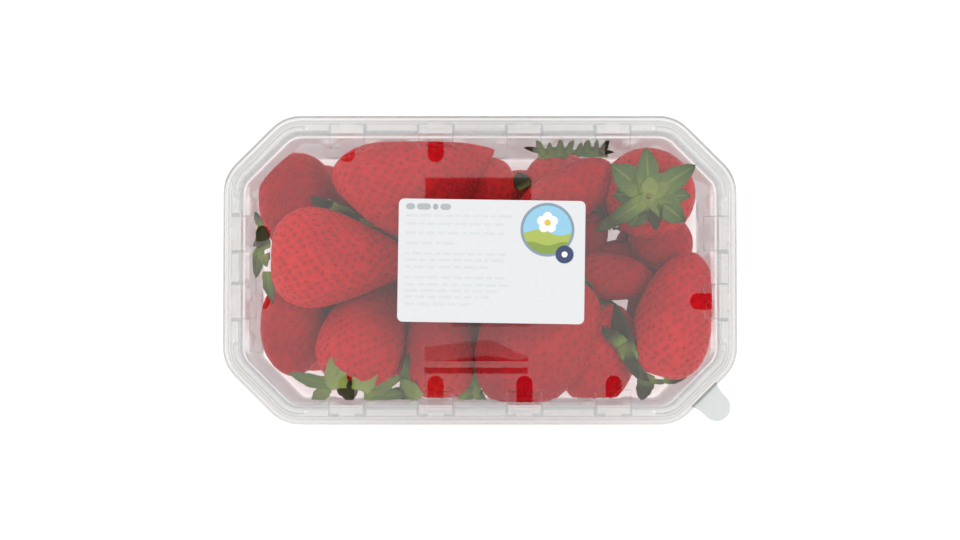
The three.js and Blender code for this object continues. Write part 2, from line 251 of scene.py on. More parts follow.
# %% [markdown]
# ## Clear PET film
# Tray and lid are thermoformed PET (the plastic of water bottles). Each face of the film mirrors 5 % of a
# white room when seen square on, which lays a pale haze over the fruit, and far more when seen on edge.
# Light that runs along the film passes more plastic, so edges and upright walls look grey. A glass shader
# would bend and darken light that only crosses 0.4 mm, and be slow. So a Transparent shader lets light
# straight through, tinted by the angle, a little Diffuse one gives the milk that a long way through the
# film shows, and a Glossy one is mixed in by Schlick's rule. The same holds on both faces of the sheet. An
# attribute called rim marks the film round the edge, whose greyer tint is painted shade: the shadow that
# the pack casts on the floor under its edge.

# %% Clear film
MIRROR_SQUARE, MIRROR_EDGE = 0.049, 0.42  # share mirrored when seen square on and on edge
MIRROR_POWER = 5.0  # Schlick's rule
EDGE_POWER = 2.2  # how soon tint and milk set in as the film turns away


def clear_film(name, square_tint, edge_tint, rim_shade_tint, milk, roughness):
    """Thin clear plastic: what it lets through, mirrors and scatters depends on the angle it is seen at."""
    material, tree = new_material(name)
    facing = add_node(tree, "ShaderNodeLayerWeight", {"Blend": 0.5}).outputs["Facing"]
    steep = add_node(tree, "ShaderNodeMath", {0: facing, 1: MIRROR_POWER}, operation="POWER").outputs[0]
    mirror = add_node(
        tree, "ShaderNodeMapRange", {"Value": steep, "To Min": MIRROR_SQUARE, "To Max": MIRROR_EDGE}
    ).outputs[0]
    edge = add_node(tree, "ShaderNodeMath", {0: facing, 1: EDGE_POWER}, operation="POWER").outputs[0]
    slanted = add_node(
        tree, "ShaderNodeMix", {0: edge, 6: linear(square_tint), 7: linear(edge_tint)}, data_type="RGBA"
    ).outputs[2]
    # painted shade: round the edge the film takes a darker tint, for the pack's shadow on the floor below
    rim = add_node(tree, "ShaderNodeAttribute", attribute_name="rim").outputs["Fac"]
    tint = add_node(
        tree, "ShaderNodeMix", {0: rim, 6: slanted, 7: linear(rim_shade_tint)}, data_type="RGBA"
    ).outputs[2]
    cloudy = add_node(
        tree, "ShaderNodeMapRange", {"Value": edge, "To Min": milk[0], "To Max": milk[1]}
    ).outputs[0]
    through = add_node(tree, "ShaderNodeBsdfTransparent", {"Color": tint})
    scattered = add_node(tree, "ShaderNodeBsdfDiffuse", {"Color": linear("#d9dbdd")})
    body = add_node(
        tree, "ShaderNodeMixShader", {0: cloudy, 1: through.outputs[0], 2: scattered.outputs[0]}
    )
    dulled = add_node(
        tree, "ShaderNodeMix", {0: edge, 6: linear("#ffffff"), 7: linear("#c6c9ca")}, data_type="RGBA"
    ).outputs[2]
    gloss = add_node(tree, "ShaderNodeBsdfGlossy", {"Color": dulled, "Roughness": roughness})
    mix = add_node(tree, "ShaderNodeMixShader", {0: mirror, 1: body.outputs[0], 2: gloss.outputs[0]})
    show(tree, mix.outputs[0])
    return material


clear_pet = clear_film(
    "thermoformed_clear_PET",
    square_tint="#fdfdfd",
    edge_tint="#eceeee",
    # the edge's darker tint is painted shade of the floor under the pack
    rim_shade_tint="#e6e7e6",
    milk=(0.005, 0.42),
    roughness=0.012,
)
print("made", clear_pet.name)

# %% [markdown]
# ## Formed sheets
# Tray and lid share one outline: a rectangle with cut, rounded corners. Both are made as a stack of rings
# of that outline, each ring moved in by some inset and raised to some height, so one profile of (inset,
# height) describes a whole sheet. Its corners are softened, because warm film never takes a sharp bend.
# The rings share their stations round the outline, closer together where something is formed in the side.

# %% Outline of the pack
CUT_LEG = 22.3  # leg of each cut corner
CORNER_RADIUS = 15.0
LEAST_RADIUS = 3.0
LONG_CORE, SHORT_CORE = 62.0, 24.0  # straight stretch that every ring has, each way from the middle
STATION_STEP, LEAST_STEP = 1.5, 0.12
END_SHARES = (0.3, 0.6, 0.8, 1.0)  # further stations from there to where the corner starts to turn
ARC_STEPS, SLANT_STEPS = 7, 5
EIGHTH_TURN = math.pi / 4


def close_steps(core, centres, offsets):
    """Places from -core to core: even steps, and more of them near each centre's flanks."""
    near = [centre + side * offset for centre in centres for side in (-1, 1) for offset in offsets]
    places = np.sort(np.concatenate([np.linspace(-core, core, round(2 * core / STATION_STEP) + 1), near]))
    return places[np.concatenate([[True], np.diff(places) > LEAST_STEP])]


def side_places(core, reach, places):
    """Stations along one straight side, whose corner starts at reach."""
    ends = core + (reach - core) * np.array(END_SHARES)
    return np.concatenate([-ends[::-1], places, ends])


def outline(inset, long_places, short_places):
    """Points of the outline moved in by inset, anticlockwise from the right side's front end."""
    half_x, half_y = LENGTH / 2 - inset, WIDTH / 2 - inset
    leg = CUT_LEG - inset * (2 - math.sqrt(2))
    radius = max(CORNER_RADIUS - inset, LEAST_RADIUS)
    turn_in = radius * math.tan(EIGHTH_TURN / 2)
    reach_x, reach_y = half_x - leg - turn_in, half_y - leg - turn_in
    along_x = side_places(LONG_CORE, reach_x, long_places)
    along_y = side_places(SHORT_CORE, reach_y, short_places)
    arc = np.linspace(0, EIGHTH_TURN, ARC_STEPS + 1)[1:]
    # one cut corner, from the right side's end to the back side's end
    first = np.array([half_x - radius, reach_y])
    second = np.array([reach_x, half_y - radius])
    bend = first + radius * np.stack([np.cos(arc), np.sin(arc)], 1)
    unbend = second + radius * np.stack([np.cos(arc + EIGHTH_TURN), np.sin(arc + EIGHTH_TURN)], 1)
    start = second + radius * np.array([math.cos(EIGHTH_TURN), math.sin(EIGHTH_TURN)])
    slant = bend[-1] + (start - bend[-1]) * np.linspace(0, 1, SLANT_STEPS + 2)[1:-1, None]
    corner = np.concatenate([bend, slant, start[None], unbend[:-1]])
    right = np.stack([np.full(len(along_y), half_x), along_y], 1)
    back = np.stack([along_x[::-1], np.full(len(along_x), half_y)], 1)
    half = np.concatenate([right, corner, back, (corner * (-1, 1))[::-1]])
    return np.concatenate([half, -half])


print("corner radius", CORNER_RADIUS, "cut leg", CUT_LEG)


# %% What each station knows of its place
def station_facts(long_places, short_places):
    """For each station: how far along its side (far off on a corner), and which way is in."""
    along_x = side_places(LONG_CORE, LONG_CORE + 1, long_places)
    along_y = side_places(SHORT_CORE, SHORT_CORE + 1, short_places)
    corner = 2 * ARC_STEPS + SLANT_STEPS
    nowhere = np.full(corner, np.inf)
    counts = (len(along_y), corner, len(along_x), corner)
    half_long = np.repeat([False, False, True, False], counts)
    half_along = np.concatenate([along_y, nowhere, along_x[::-1], nowhere])
    half_in = np.zeros((len(half_along), 2))
    half_in[: len(along_y)] = (-1, 0)
    first_back = len(along_y) + corner
    half_in[first_back : first_back + len(along_x)] = (0, -1)
    return {
        "long": np.concatenate([half_long, half_long]),
        "along": np.concatenate([half_along, -half_along]),
        "in": np.concatenate([half_in, -half_in]),
        "corner": np.isinf(np.concatenate([half_along, half_along])),
    }


def nearest(facts, long_centres, short_centres):
    """For each station: how far along its side it is from the nearest of that side's centres."""
    away = np.full(len(facts["along"]), np.inf)
    on_short = ~facts["long"] & ~facts["corner"]
    for centres, here in ((long_centres, facts["long"]), (short_centres, on_short)):
        for centre in centres:
            away = np.minimum(away, np.abs(np.where(here, facts["along"], np.inf) - centre))
    return away


even = np.linspace(-10, 10, 5)
print("stations on a sparse ring:", len(station_facts(even, even)["along"]))

# %% Profiles
BEND_STEPS = 4


def curve(start, pull, end, s):
    """Points at shares s of the curve that leaves start towards pull and comes to end from it."""
    return (1 - s) ** 2 * start + 2 * s * (1 - s) * pull + s**2 * end


def softened(corners, longest):
    """A profile through (inset, height, radius) corners, each bend rounded, no step above longest."""
    path = [np.array(corners[0][:2], float)]
    for before, corner, after in zip(corners, corners[1:], corners[2:]):
        point = np.array(corner[:2], float)
        back, ahead = np.array(before[:2]) - point, np.array(after[:2]) - point
        reach = min(corner[2], 0.49 * np.linalg.norm(back), 0.49 * np.linalg.norm(ahead))
        start = point + back / np.linalg.norm(back) * reach
        end = point + ahead / np.linalg.norm(ahead) * reach
        for share in np.linspace(0, 1, BEND_STEPS + 1):
            path.append(curve(start, point, end, share))
    path.append(np.array(corners[-1][:2], float))
    rows = [path[0]]
    for a, b in zip(path, path[1:]):
        parts = max(1, math.ceil(np.linalg.norm(b - a) / longest))
        rows += [a + (b - a) * (k + 1) / parts for k in range(parts)]
    return np.array(rows)


def ramp(x):
    """0 below 0, 1 above 1 and a smooth slope between."""
    x = np.clip(x, 0, 1)
    return x * x * (3 - 2 * x)


print("a softened right angle has", len(softened([(0, 0), (0, 5, 2), (5, 5)], 9)), "points")


# %% Lofting and thickness
def band_faces(ring_count, count, first=0):
    """Four-cornered faces between neighbouring closed rings of count points, numbered from first."""
    here = first + np.arange(count)
    after = first + (np.arange(count) + 1) % count
    faces = []
    for low in range(0, (ring_count - 1) * count, count):
        high = low + count
        faces += np.stack([low + here, low + after, high + after, high + here], 1).tolist()
    return faces


def loft(rings):
    """Points and faces through rings of equal counts, closed by one face inside the last."""
    count = len(rings[0])
    inside = list(range((len(rings) - 1) * count, len(rings) * count))
    return np.concatenate(rings), band_faces(len(rings), count) + [inside]


def apply_modifiers(piece):
    """Turns the piece's modifiers into plain mesh."""
    evaluated = piece.evaluated_get(bpy.context.evaluated_depsgraph_get())
    mesh = bpy.data.meshes.new_from_object(evaluated)
    mesh.name = piece.name
    piece.modifiers.clear()
    old = piece.data
    piece.data = mesh
    bpy.data.meshes.remove(old)
    return piece


def give_thickness(piece, thickness):
    """Grows a sheet to both sides of the surface it was made as."""
    solidify = piece.modifiers.new("film", "SOLIDIFY")
    solidify.thickness = thickness * MM
    solidify.offset = 0
    solidify.use_rim = True
    return apply_modifiers(piece)


print("two rings of six points have", len(band_faces(2, 6)), "faces between them")

# %% [markdown]
# ## Holes by Geometry Nodes
# The lid has twelve air slots and the tray six drain slots, all the same round-ended shape. A small node
# tree makes one cutter, the hull round two short cylinders, and sets a copy at each point, turned as the
# point says. The copies are made real and taken out of the sheet by a Boolean. One tree serves both, with
# its width, length and height as inputs.

# %% Geometry Nodes helpers
def new_tree(name, sizes):
    """A geometry node tree with one geometry input and named number inputs."""
    tree = bpy.data.node_groups.new(name, "GeometryNodeTree")
    tree.interface.new_socket("Geometry", in_out="INPUT", socket_type="NodeSocketGeometry")
    for size, value in sizes.items():
        kind = "NodeSocketInt" if isinstance(value, int) else "NodeSocketFloat"
        tree.interface.new_socket(size, in_out="INPUT", socket_type=kind).default_value = value
    tree.interface.new_socket("Geometry", in_out="OUTPUT", socket_type="NodeSocketGeometry")
    return tree, add_node(tree, "NodeGroupInput").outputs


def end_tree(tree, instances, material):
    """Ends a tree: copies made real, then given their material."""
    real = add_node(tree, "GeometryNodeRealizeInstances", {0: instances})
    finished = add_node(
        tree, "GeometryNodeSetMaterial", {"Geometry": real.outputs[0], "Material": material}
    )
    add_node(tree, "NodeGroupOutput", {0: finished.outputs[0]})


def grow_on_points(name, tree, points, facts, sizes):
    """Runs a tree on bare points, each with its own facts, and returns the result as a plain mesh."""
    piece = make_mesh(name, points, [], [])
    for fact, values in facts.items():
        values = np.asarray(values, np.float32)
        kind, field = ("FLOAT_VECTOR", "vector") if values.ndim == 2 else ("FLOAT", "value")
        piece.data.attributes.new(fact, kind, "POINT").data.foreach_set(field, values.ravel())
    modifier = piece.modifiers.new(name, "NODES")
    modifier.node_group = tree
    for item in tree.interface.items_tree:
        if item.in_out == "INPUT" and item.name in sizes:
            modifier[item.identifier] = sizes[item.name]
    return apply_modifiers(piece)


def fact_node(tree, name, kind="FLOAT"):
    """Reads one of the points' own facts."""
    return add_node(tree, "GeometryNodeInputNamedAttribute", {"Name": name}, data_type=kind).outputs[0]


print("trees end in Realize Instances and Set Material")

# %% Round-ended cutter
cutter_tree, sizes = new_tree("round_ended_cutters", {"Width": 0.006, "Length": 0.02, "Height": 0.01})
radius = add_node(
    cutter_tree, "ShaderNodeMath", {0: sizes["Width"], 1: 0.5}, operation="MULTIPLY"
).outputs[0]
straight = add_node(
    cutter_tree, "ShaderNodeMath", {0: sizes["Length"], 1: sizes["Width"]}, operation="SUBTRACT"
).outputs[0]
ends = add_node(cutter_tree, "GeometryNodeJoinGeometry")
for side in (-0.5, 0.5):
    post = add_node(
        cutter_tree,
        "GeometryNodeMeshCylinder",
        {"Vertices": 28, "Radius": radius, "Depth": sizes["Height"]},
    )
    away = add_node(cutter_tree, "ShaderNodeMath", {0: straight, 1: side}, operation="MULTIPLY")
    place = add_node(cutter_tree, "ShaderNodeCombineXYZ", {"X": away.outputs[0]})
    moved = add_node(
        cutter_tree,
        "GeometryNodeTransform",
        {"Geometry": post.outputs["Mesh"], "Translation": place.outputs[0]},
    )
    cutter_tree.links.new(moved.outputs[0], ends.inputs[0])
hull = add_node(cutter_tree, "GeometryNodeConvexHull", {0: ends.outputs[0]})
turned = add_node(cutter_tree, "ShaderNodeCombineXYZ", {"Z": fact_node(cutter_tree, "turn")})
copies = add_node(
    cutter_tree,
    "GeometryNodeInstanceOnPoints",
    {"Points": sizes["Geometry"], "Instance": hull.outputs[0], "Rotation": turned.outputs[0]},
)
end_tree(cutter_tree, copies.outputs[0], clear_pet)


def cut_round_slots(sheet, centres, turns, width, length, height):
    """Takes a round-ended slot out of the sheet at each centre."""
    cutters = grow_on_points(
        "cutters", cutter_tree, centres, {"turn": turns},
        {"Width": width * MM, "Length": length * MM, "Height": height * MM},
    )
    cut = sheet.modifiers.new("slots", "BOOLEAN")
    cut.operation = "DIFFERENCE"
    cut.solver = "MANIFOLD"
    cut.object = cutters
    before = len(sheet.data.polygons)
    apply_modifiers(sheet)
    print(f"{sheet.name}: {len(turns)} slots cut, {before} faces become {len(sheet.data.polygons)}")
    bpy.data.objects.remove(cutters)


# %% [markdown]
# ## The tray
# The tray is one sheet: a turned-down lip, a flat flange, a shoulder on which stacked trays rest, a wall
# that leans in with upright flutes for stiffness, and a floor whose middle is raised so that the pack
# stands on a ring. A flute is a soft groove pushed in from outside, so the stations that cross it are
# pushed in too. Its profile is written as corners of inset, height and bend radius.

# %% Tray sizes and profile
FLANGE_OUTER, FLANGE_INNER = 1.6, 6.4  # insets of the flange's two edges
LIP_FOOT = RIM_Z - 2.6
SHOULDER_Z, SHOULDER_IN = 56.0, 0.8
FLOOR_INSET, FLOOR_BEND = 10.4, 4.0
KICK_OUTER, KICK_INNER, KICK_Z = 17.4, 19.4, 2.4  # rise of the floor's middle
FLUTE_WIDTH, FLUTE_DEPTH, FLUTE_PITCH = 7.0, 1.1, 16.3
FLUTE_FOOT, FLUTE_TOP = 9.0, 50.0
LONG_FLUTES, SHORT_FLUTES = 8, 4
DRAINS = [(x, y) for x in (-50, 0, 50) for y in (-22, 22)]
DRAIN_WIDTH, DRAIN_LENGTH, DRAIN_REACH = 4.0, 22.0, 4.0

h = HALF_SHEET  # profiles run down the middle of the film
tray_profile = softened(
    [
        (FLANGE_OUTER + h, LIP_FOOT, 0),
        (FLANGE_OUTER + h, RIM_Z - h, 0.8),
        (FLANGE_INNER + h, RIM_Z - h, 0.9),
        (FLANGE_INNER + h, SHOULDER_Z + 1, 0.6),
        (FLANGE_INNER + SHOULDER_IN + h, SHOULDER_Z, 0.6),
        (FLOOR_INSET + h, 2.0, FLOOR_BEND),
        (FLOOR_INSET + FLOOR_BEND, h, 1.5),
        (KICK_OUTER, h, 0.8),
        (KICK_INNER, KICK_Z + h, 1.2),
        (KICK_INNER + 4, KICK_Z + h, 0),
    ],
    longest=3.2,
)
print("the tray's profile has", len(tray_profile), "rows")

# %% Flutes
FLUTE_FLANKS = np.array([1.0, 2.0, 2.7, 3.4, 4.1])  # stations on a flute, away from its middle
FLUTE_BLEND = 4.0  # height over which a flute starts and ends


def flute_centres(count):
    """Middles of the flutes along one side."""
    return (np.arange(count) - (count - 1) / 2) * FLUTE_PITCH


def flute_depth(z):
    """How deep the flutes are at height z."""
    start = ramp((z - FLUTE_FOOT + FLUTE_BLEND / 2) / FLUTE_BLEND)
    return FLUTE_DEPTH * start * ramp((FLUTE_TOP + FLUTE_BLEND / 2 - z) / FLUTE_BLEND)


tray_long = close_steps(LONG_CORE, flute_centres(LONG_FLUTES), FLUTE_FLANKS)
tray_short = close_steps(SHORT_CORE, flute_centres(SHORT_FLUTES)[1:-1], FLUTE_FLANKS)
facts = station_facts(tray_long, tray_short)
away = nearest(facts, flute_centres(LONG_FLUTES), flute_centres(SHORT_FLUTES))
flute_share = ramp(1.25 * (1 - away / (FLUTE_WIDTH / 2 + 0.6)))  # 1 in a flute, 0 between flutes
print(f"{(flute_share > 0).sum()} of {len(flute_share)} stations are on flutes")

# %% Tray
rings = []
for inset, z in tray_profile:
    ring = outline(inset, tray_long, tray_short) + facts["in"] * (flute_depth(z) * flute_share)[:, None]
    rings.append(np.column_stack([ring, np.full(len(ring), z)]))
points, faces = loft(rings)
tray = make_mesh("tray_film", points, faces, [clear_pet])
# painted shade: the tray's lip and flange get the darker edge tint, for the pack's shadow on the floor under
# them
add_facts(tray, {"rim": ramp((points[:, 2] - LIP_FOOT) / 2)})
give_thickness(tray, SHEET)
drain_centres = [(x, y, KICK_Z) for x, y in DRAINS]
cut_round_slots(tray, drain_centres, [0.0] * len(DRAINS), DRAIN_WIDTH, DRAIN_LENGTH, DRAIN_REACH)
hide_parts("tray")
print("tray:", len(rings), "rings of", len(rings[0]), "stations")

# %% [markdown]
# ## The lid
# The lid's edge is a skirt that reaches down outside the tray's flange, then a raised bead, a narrow
# valley, a short wall and the flat panel. Twelve blocks, or lugs, stand round the air slots, a little
# higher than the panel, and each cut corner has a stiffening rib at the foot of its wall. Lugs and ribs are
# added to the rings as heights: where a lug is higher than the plain profile, the film follows the lug. So
# a profile row is put in wherever such a height starts or ends.

# %% Lid sizes and profile
BEAD_WIDTH, BEAD_TOP = 2.7, 67.8
VALLEY_Z = 66.9
WALL_FOOT = 5.5
PANEL_Z, PANEL_INSET = LUG_TOP - 0.7, 9.6
LUG_HALF_WIDTH, LUG_DRAFT = 7.0, 0.9
LUG_OUTER, LUG_INNER = 3.1, 13.6  # insets of the foot of its outer and inner face
LONG_SLOTS, SHORT_SLOTS = (-49, -16.3, 16.3, 49), (-12, 13)
SLOT_WIDTH, SLOT_INNER, SLOT_OUTER = 6.0, 18.0, -2.0
SLOT_FOOT = 68.1
RIB_MIDDLE, RIB_HALF_WIDTH, RIB_HEIGHT = 5.1, 1.25, 1.5
CREASE_INSET, CREASE_ENDS, CREASE_HEIGHT = 22.4, (-31.0, 17.0), 0.22  # faint fold along the front
LID_LAST_INSET = 23.3
FINE_STEP, FINER_STEP, LEAST_ROW = 0.22, 0.2, 0.06  # between rows, where something stands on them

lid_profile = softened(
    [
        (h, SKIRT_FOOT, 0),
        (h, BEAD_TOP - h, 1.0),
        (BEAD_WIDTH + 0.1, BEAD_TOP - h, 0.8),
        (BEAD_WIDTH + 0.6, VALLEY_Z - h, 0.4),
        (WALL_FOOT + h, VALLEY_Z - h, 0.6),
        (6.6 + h, 71.2, 1.6),
        (PANEL_INSET - 1.4 + h, PANEL_Z - 0.8 - h, 1.2),
        (PANEL_INSET + 0.4, PANEL_Z - h, 1.0),
        (LUG_INNER - LUG_DRAFT - 0.2, PANEL_Z - h, 0),
        (LUG_INNER + 0.2, PANEL_Z - h, 0),
        (LID_LAST_INSET, PANEL_Z - h, 0),
    ],
    longest=1.2,
)
foot_insets = np.arange(LUG_OUTER - 0.1, WALL_FOOT, FINE_STEP)  # the lugs' outer faces and the ribs
flat_insets = np.concatenate([
    np.arange(LUG_INNER - LUG_DRAFT, LUG_INNER + 0.1, FINER_STEP),  # the lugs' inner faces
    np.arange(CREASE_INSET - 0.8, CREASE_INSET + 0.81, FINER_STEP),  # the fold
])
extra = [(inset, np.interp(inset, *lid_profile.T)) for inset in foot_insets]
extra += [(inset, PANEL_Z - h) for inset in flat_insets]
on_skirt = lid_profile[:, 0] < LUG_OUTER - 0.12
inner_rows = np.concatenate([lid_profile[~on_skirt], extra])
inner_rows = inner_rows[np.argsort(inner_rows[:, 0])]
inner_rows = inner_rows[np.concatenate([[True], np.diff(inner_rows[:, 0]) > LEAST_ROW])]
lid_profile = np.concatenate([lid_profile[on_skirt], inner_rows])
print("the lid's profile has", len(lid_profile), "rows")

# %% Lugs, ribs and a fold
LUG_FLANKS = LUG_HALF_WIDTH - LUG_DRAFT * np.array([-0.1, 0.15, 0.4, 0.65, 0.9, 1.2, 2.0])
lid_long = close_steps(LONG_CORE, LONG_SLOTS, LUG_FLANKS)
lid_short = close_steps(SHORT_CORE, SHORT_SLOTS, LUG_FLANKS)
facts = station_facts(lid_long, lid_short)
on_lug = ramp((LUG_HALF_WIDTH - nearest(facts, LONG_SLOTS, SHORT_SLOTS)) / LUG_DRAFT)


def lug_share(inset):
    """How fully each station stands on a lug at this inset, from 0 to 1."""
    return on_lug * ramp((inset - LUG_OUTER) / LUG_DRAFT) * ramp((LUG_INNER - inset) / LUG_DRAFT)


def rib_share(inset):
    """The same for the ribs at the cut corners."""
    core = np.where(facts["long"], LONG_CORE, SHORT_CORE)
    start = ramp((np.abs(facts["along"]) - core - 0.5) / 0.3)
    across = ramp((1 - abs(inset - RIB_MIDDLE) / RIB_HALF_WIDTH) * 2)
    return np.where(facts["corner"], 1.0, start) * across


def crease_share(inset):
    """The same for the fold along the front of the panel."""
    start, end = CREASE_ENDS
    near = ramp((facts["along"] - start) / 2) * ramp((end - facts["along"]) / 2)
    return near * (facts["in"][:, 1] > 0) * ramp((1 - abs(inset - CREASE_INSET) / 0.7) * 1.5)


print(f"{(on_lug > 0).sum()} of {len(on_lug)} stations are on lugs")

# %% Lid
RIM_SHADE_INSET, RIM_SHADE_BLEND = 2.4, 0.8  # where the painted shade round the lid's edge ends

rings = []
for inset, z in lid_profile:
    height = z + CREASE_HEIGHT * crease_share(inset)
    if inset > LUG_OUTER:
        height = np.maximum(height, VALLEY_Z - h + (LUG_TOP - VALLEY_Z) * lug_share(inset))
        height = np.maximum(height, VALLEY_Z - h + RIB_HEIGHT * rib_share(inset))
    rings.append(np.column_stack([outline(inset, lid_long, lid_short), height]))
points, faces = loft(rings)
lid = make_mesh("lid_film", points, faces, [clear_pet])
row_insets = np.repeat(lid_profile[:, 0], len(rings[0]))
# painted shade: the lid's skirt and bead get the darker edge tint, for the pack's shadow on the floor under
# them
add_facts(lid, {"rim": ramp((RIM_SHADE_INSET - row_insets) / RIM_SHADE_BLEND)})
give_thickness(lid, SHEET)
print("lid:", len(rings), "rings of", len(rings[0]), "stations")

# %% Air slots
SLOT_CLEAR = 2.0  # how far a cutter stands above the lugs
slot_centres, slot_turns = [], []
slot_middle = (SLOT_INNER + SLOT_OUTER) / 2
slot_z = (SLOT_FOOT + LUG_TOP + SLOT_CLEAR) / 2
for side in (-1, 1):
    for along in LONG_SLOTS:
        slot_centres.append((along, side * (WIDTH / 2 - slot_middle), slot_z))
        slot_turns.append(math.pi / 2)
    for along in SHORT_SLOTS:
        slot_centres.append((side * (LENGTH / 2 - slot_middle), along, slot_z))
        slot_turns.append(0.0)
slot_length, slot_depth = SLOT_INNER - SLOT_OUTER, LUG_TOP + SLOT_CLEAR - SLOT_FOOT
cut_round_slots(lid, slot_centres, slot_turns, SLOT_WIDTH, slot_length, slot_depth)
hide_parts("lid")

# %% [markdown]
# ## Strawberries
# A strawberry is a swollen flower base. It is widest near its green cap, tapers to a blunt or pointed tip,
# has a dent under the cap, and is never quite round. Each berry is a grid of rings along an axis from cap
# to tip: a curve gives the width of each ring, and a few low waves make it lumpy. The rings are equally far
# apart along the skin, so the small pits round the seeds come out alike all over. The upper berries lie
# about where the solids have theirs, with ends up to 12 mm away, and smaller ones below fill the tray.

# %% Where each berry lies
# cap end, tip end (mm), width (mm), bluntness 0 to 1, ripeness 0 to 1 (bright red to dark red)
BERRIES_LARGE = {
    "left_big": ((-80, 6.2, 49), (-20.5, 4.0, 49), 38.6, 0.05, 0.15),
    "back": ((-49.4, 23.5, 46), (5.5, 46.2, 47), 42, 0.2, 0.42),
    "front_big": ((35.5, 1, 47), (7, -50, 44), 42, 1.0, 0.7),
}
BERRIES_MEDIUM = {
    "left_back": ((-66, 9, 26), (-72, 46, 36), 31, 1.0, 0.6),
    "front_left": ((-50.5, -43.5, 44), (-36.5, -3.5, 36), 34, 0.6, 0.6),
    "front_low": ((46, -9, 36), (42, -50, 35), 31, 0.95, 0.3),
    "right_big": ((67, -40.5, 46), (80.5, 7.5, 49), 32, 0.75, 0.2),
    "right_back": ((63, 29, 61), (65, 31.5, 22), 35, 0.6, 0.55),
}
BERRIES_SMALL = {
    "left_front": ((-70, -2, 25), (-71.5, -38.5, 30), 27, 0.85, 0.6),
    "front_mid": ((-13.6, -48.5, 38), (-16.4, -6.5, 42), 28.5, 0.6, 0.8),
    "right_mid": ((33, 0.2, 40), (65.7, -2.8, 41), 18.5, 0.9, 0.55),
    "back_right": ((14.5, 16.5, 47), (49.5, 40.5, 50), 22.5, 0.9, 0.6),
    "back_low": ((31.5, 45, 42), (28, 14, 27), 27, 0.4, 0.6),
    "back_mid": ((14.5, 35, 40), (-13.5, 26.5, 36), 25, 0.5, 0.6),
    "right_low": ((60, 18, 27), (78.5, 7.5, 42), 23, 0.8, 0.45),
}
BERRIES_BELOW = {
    "floor_1": ((-79, 26, 18), (-44, 36, 17), 27, 0.5, 0.5),
    "floor_2": ((-41, 4, 16), (-81, 1, 18), 29, 0.4, 0.6),
    "floor_3": ((-79, -22, 17), (-46, -28, 17), 25, 0.5, 0.4),
    "floor_4": ((-3, -32, 17), (-39, -28, 17), 27, 0.6, 0.7),
    "floor_5": ((-4, -8, 17), (-38, -13, 17), 26, 0.4, 0.6),
    "floor_6": ((-40, 34, 18), (-4, 36, 17), 29, 0.5, 0.5),
    "floor_7": ((-34, 13, 16), (2, 13, 16), 25, 0.5, 0.6),
    "floor_8": ((2, -32, 17), (37, -32, 17), 27, 0.5, 0.4),
    "floor_9": ((44, -8, 17), (6, -8, 17), 28, 0.4, 0.6),
    "floor_10": ((2, 28.5, 17), (40, 29.5, 17), 25, 0.5, 0.7),
    "floor_11": ((8, 12, 17), (43, 13, 16), 24, 0.4, 0.5),
    "floor_12": ((76, -23, 17), (44, -27, 16), 25, 0.4, 0.5),
    "floor_13": ((82, -9, 18), (60, 8, 17), 25, 0.7, 0.4),
    "floor_14": ((46, 36, 17), (80, 28, 17), 27, 0.5, 0.6),
    "middle_1": ((43, 26, 26), (36.5, -2, 27), 17, 0.6, 0.7),
    "middle_2": ((66, 6, 24), (40, 7.6, 26), 14.5, 0.6, 0.6),
    "middle_3": ((62, 18, 16), (55, 5, 20), 14, 0.7, 0.6),
    "middle_4": ((65.5, -5, 22), (60, -24, 24), 15, 0.6, 0.6),
    "middle_5": ((-38, -22, 24), (-2, -21, 24), 17, 0.7, 0.7),
    "middle_6": ((-60, 31, 22), (-34, 12, 24), 22, 0.7, 0.8),
    "middle_7": ((-56, -12, 24), (-18, -8, 24), 20, 0.7, 0.8),
    "middle_8": ((58, -30, 24), (48, -17, 26), 12, 0.7, 0.7),
    "middle_10": ((-64, -11, 22), (-52, -19, 24), 11, 0.7, 0.7),
    "middle_9": ((53, 31, 24), (43, 22.5, 24), 10.5, 0.7, 0.7),
    "middle_11": ((3, -36, 25), (-4, -15, 27), 16, 0.6, 0.75),
}
BERRIES_UPPER = {**BERRIES_LARGE, **BERRIES_MEDIUM, **BERRIES_SMALL}
CAP_SLANTS = {"back": (0.17, -0.40, 0)}  # a cap end that isn't square to its berry: run per mm across it
LEVEL_CAP = (0, 0, 0)
print(len(BERRIES_UPPER), "upper berries,", len(BERRIES_BELOW), "below")

# %% A berry's smooth skin
DENT_SHARE, DENT_REACH = 0.055, 0.2  # depth and radius of the dent under the cap, as shares of the width
LOW_WAVE, HIGH_WAVE = (0.008, 0.03), (0.004, 0.014)  # least and most height, as shares of the radius
ANY_TURN = (0, 6.28)


def girth(t, blunt):
    """Half-width at share t of the axis, cap to tip, as a share of the widest."""
    widest = 0.3 + 0.16 * blunt
    shoulder = np.clip(1 - np.abs(1 - t / widest) ** 2.4, 0, 1) ** 0.5
    past = np.clip((t - widest) / (1 - widest), 0, 1)
    taper = np.clip(1 - past ** (1.35 + blunt), 0, 1) ** (0.95 - 0.45 * blunt)
    return np.where(t < widest, shoulder, taper)


def unit(v):
    """Directions of length 1."""
    return v / np.maximum(np.linalg.norm(v, axis=-1, keepdims=True), 1e-9)


def square_to(ahead):
    """Two directions square to ahead, which is one direction or a row of them, and to each other."""
    rise = np.atleast_2d(ahead)[0][2]
    start = (0.0, 0.0, 1.0) if abs(rise) < 0.9 else (1.0, 0.0, 0.0)
    side = unit(np.cross(start, ahead))
    return side, np.cross(ahead, side)


def berry_axes(berry):
    """The directions along a berry, cap to tip, and across it both ways."""
    along = unit(np.subtract(berry[1], berry[0]).astype(float))
    return along, *square_to(along)


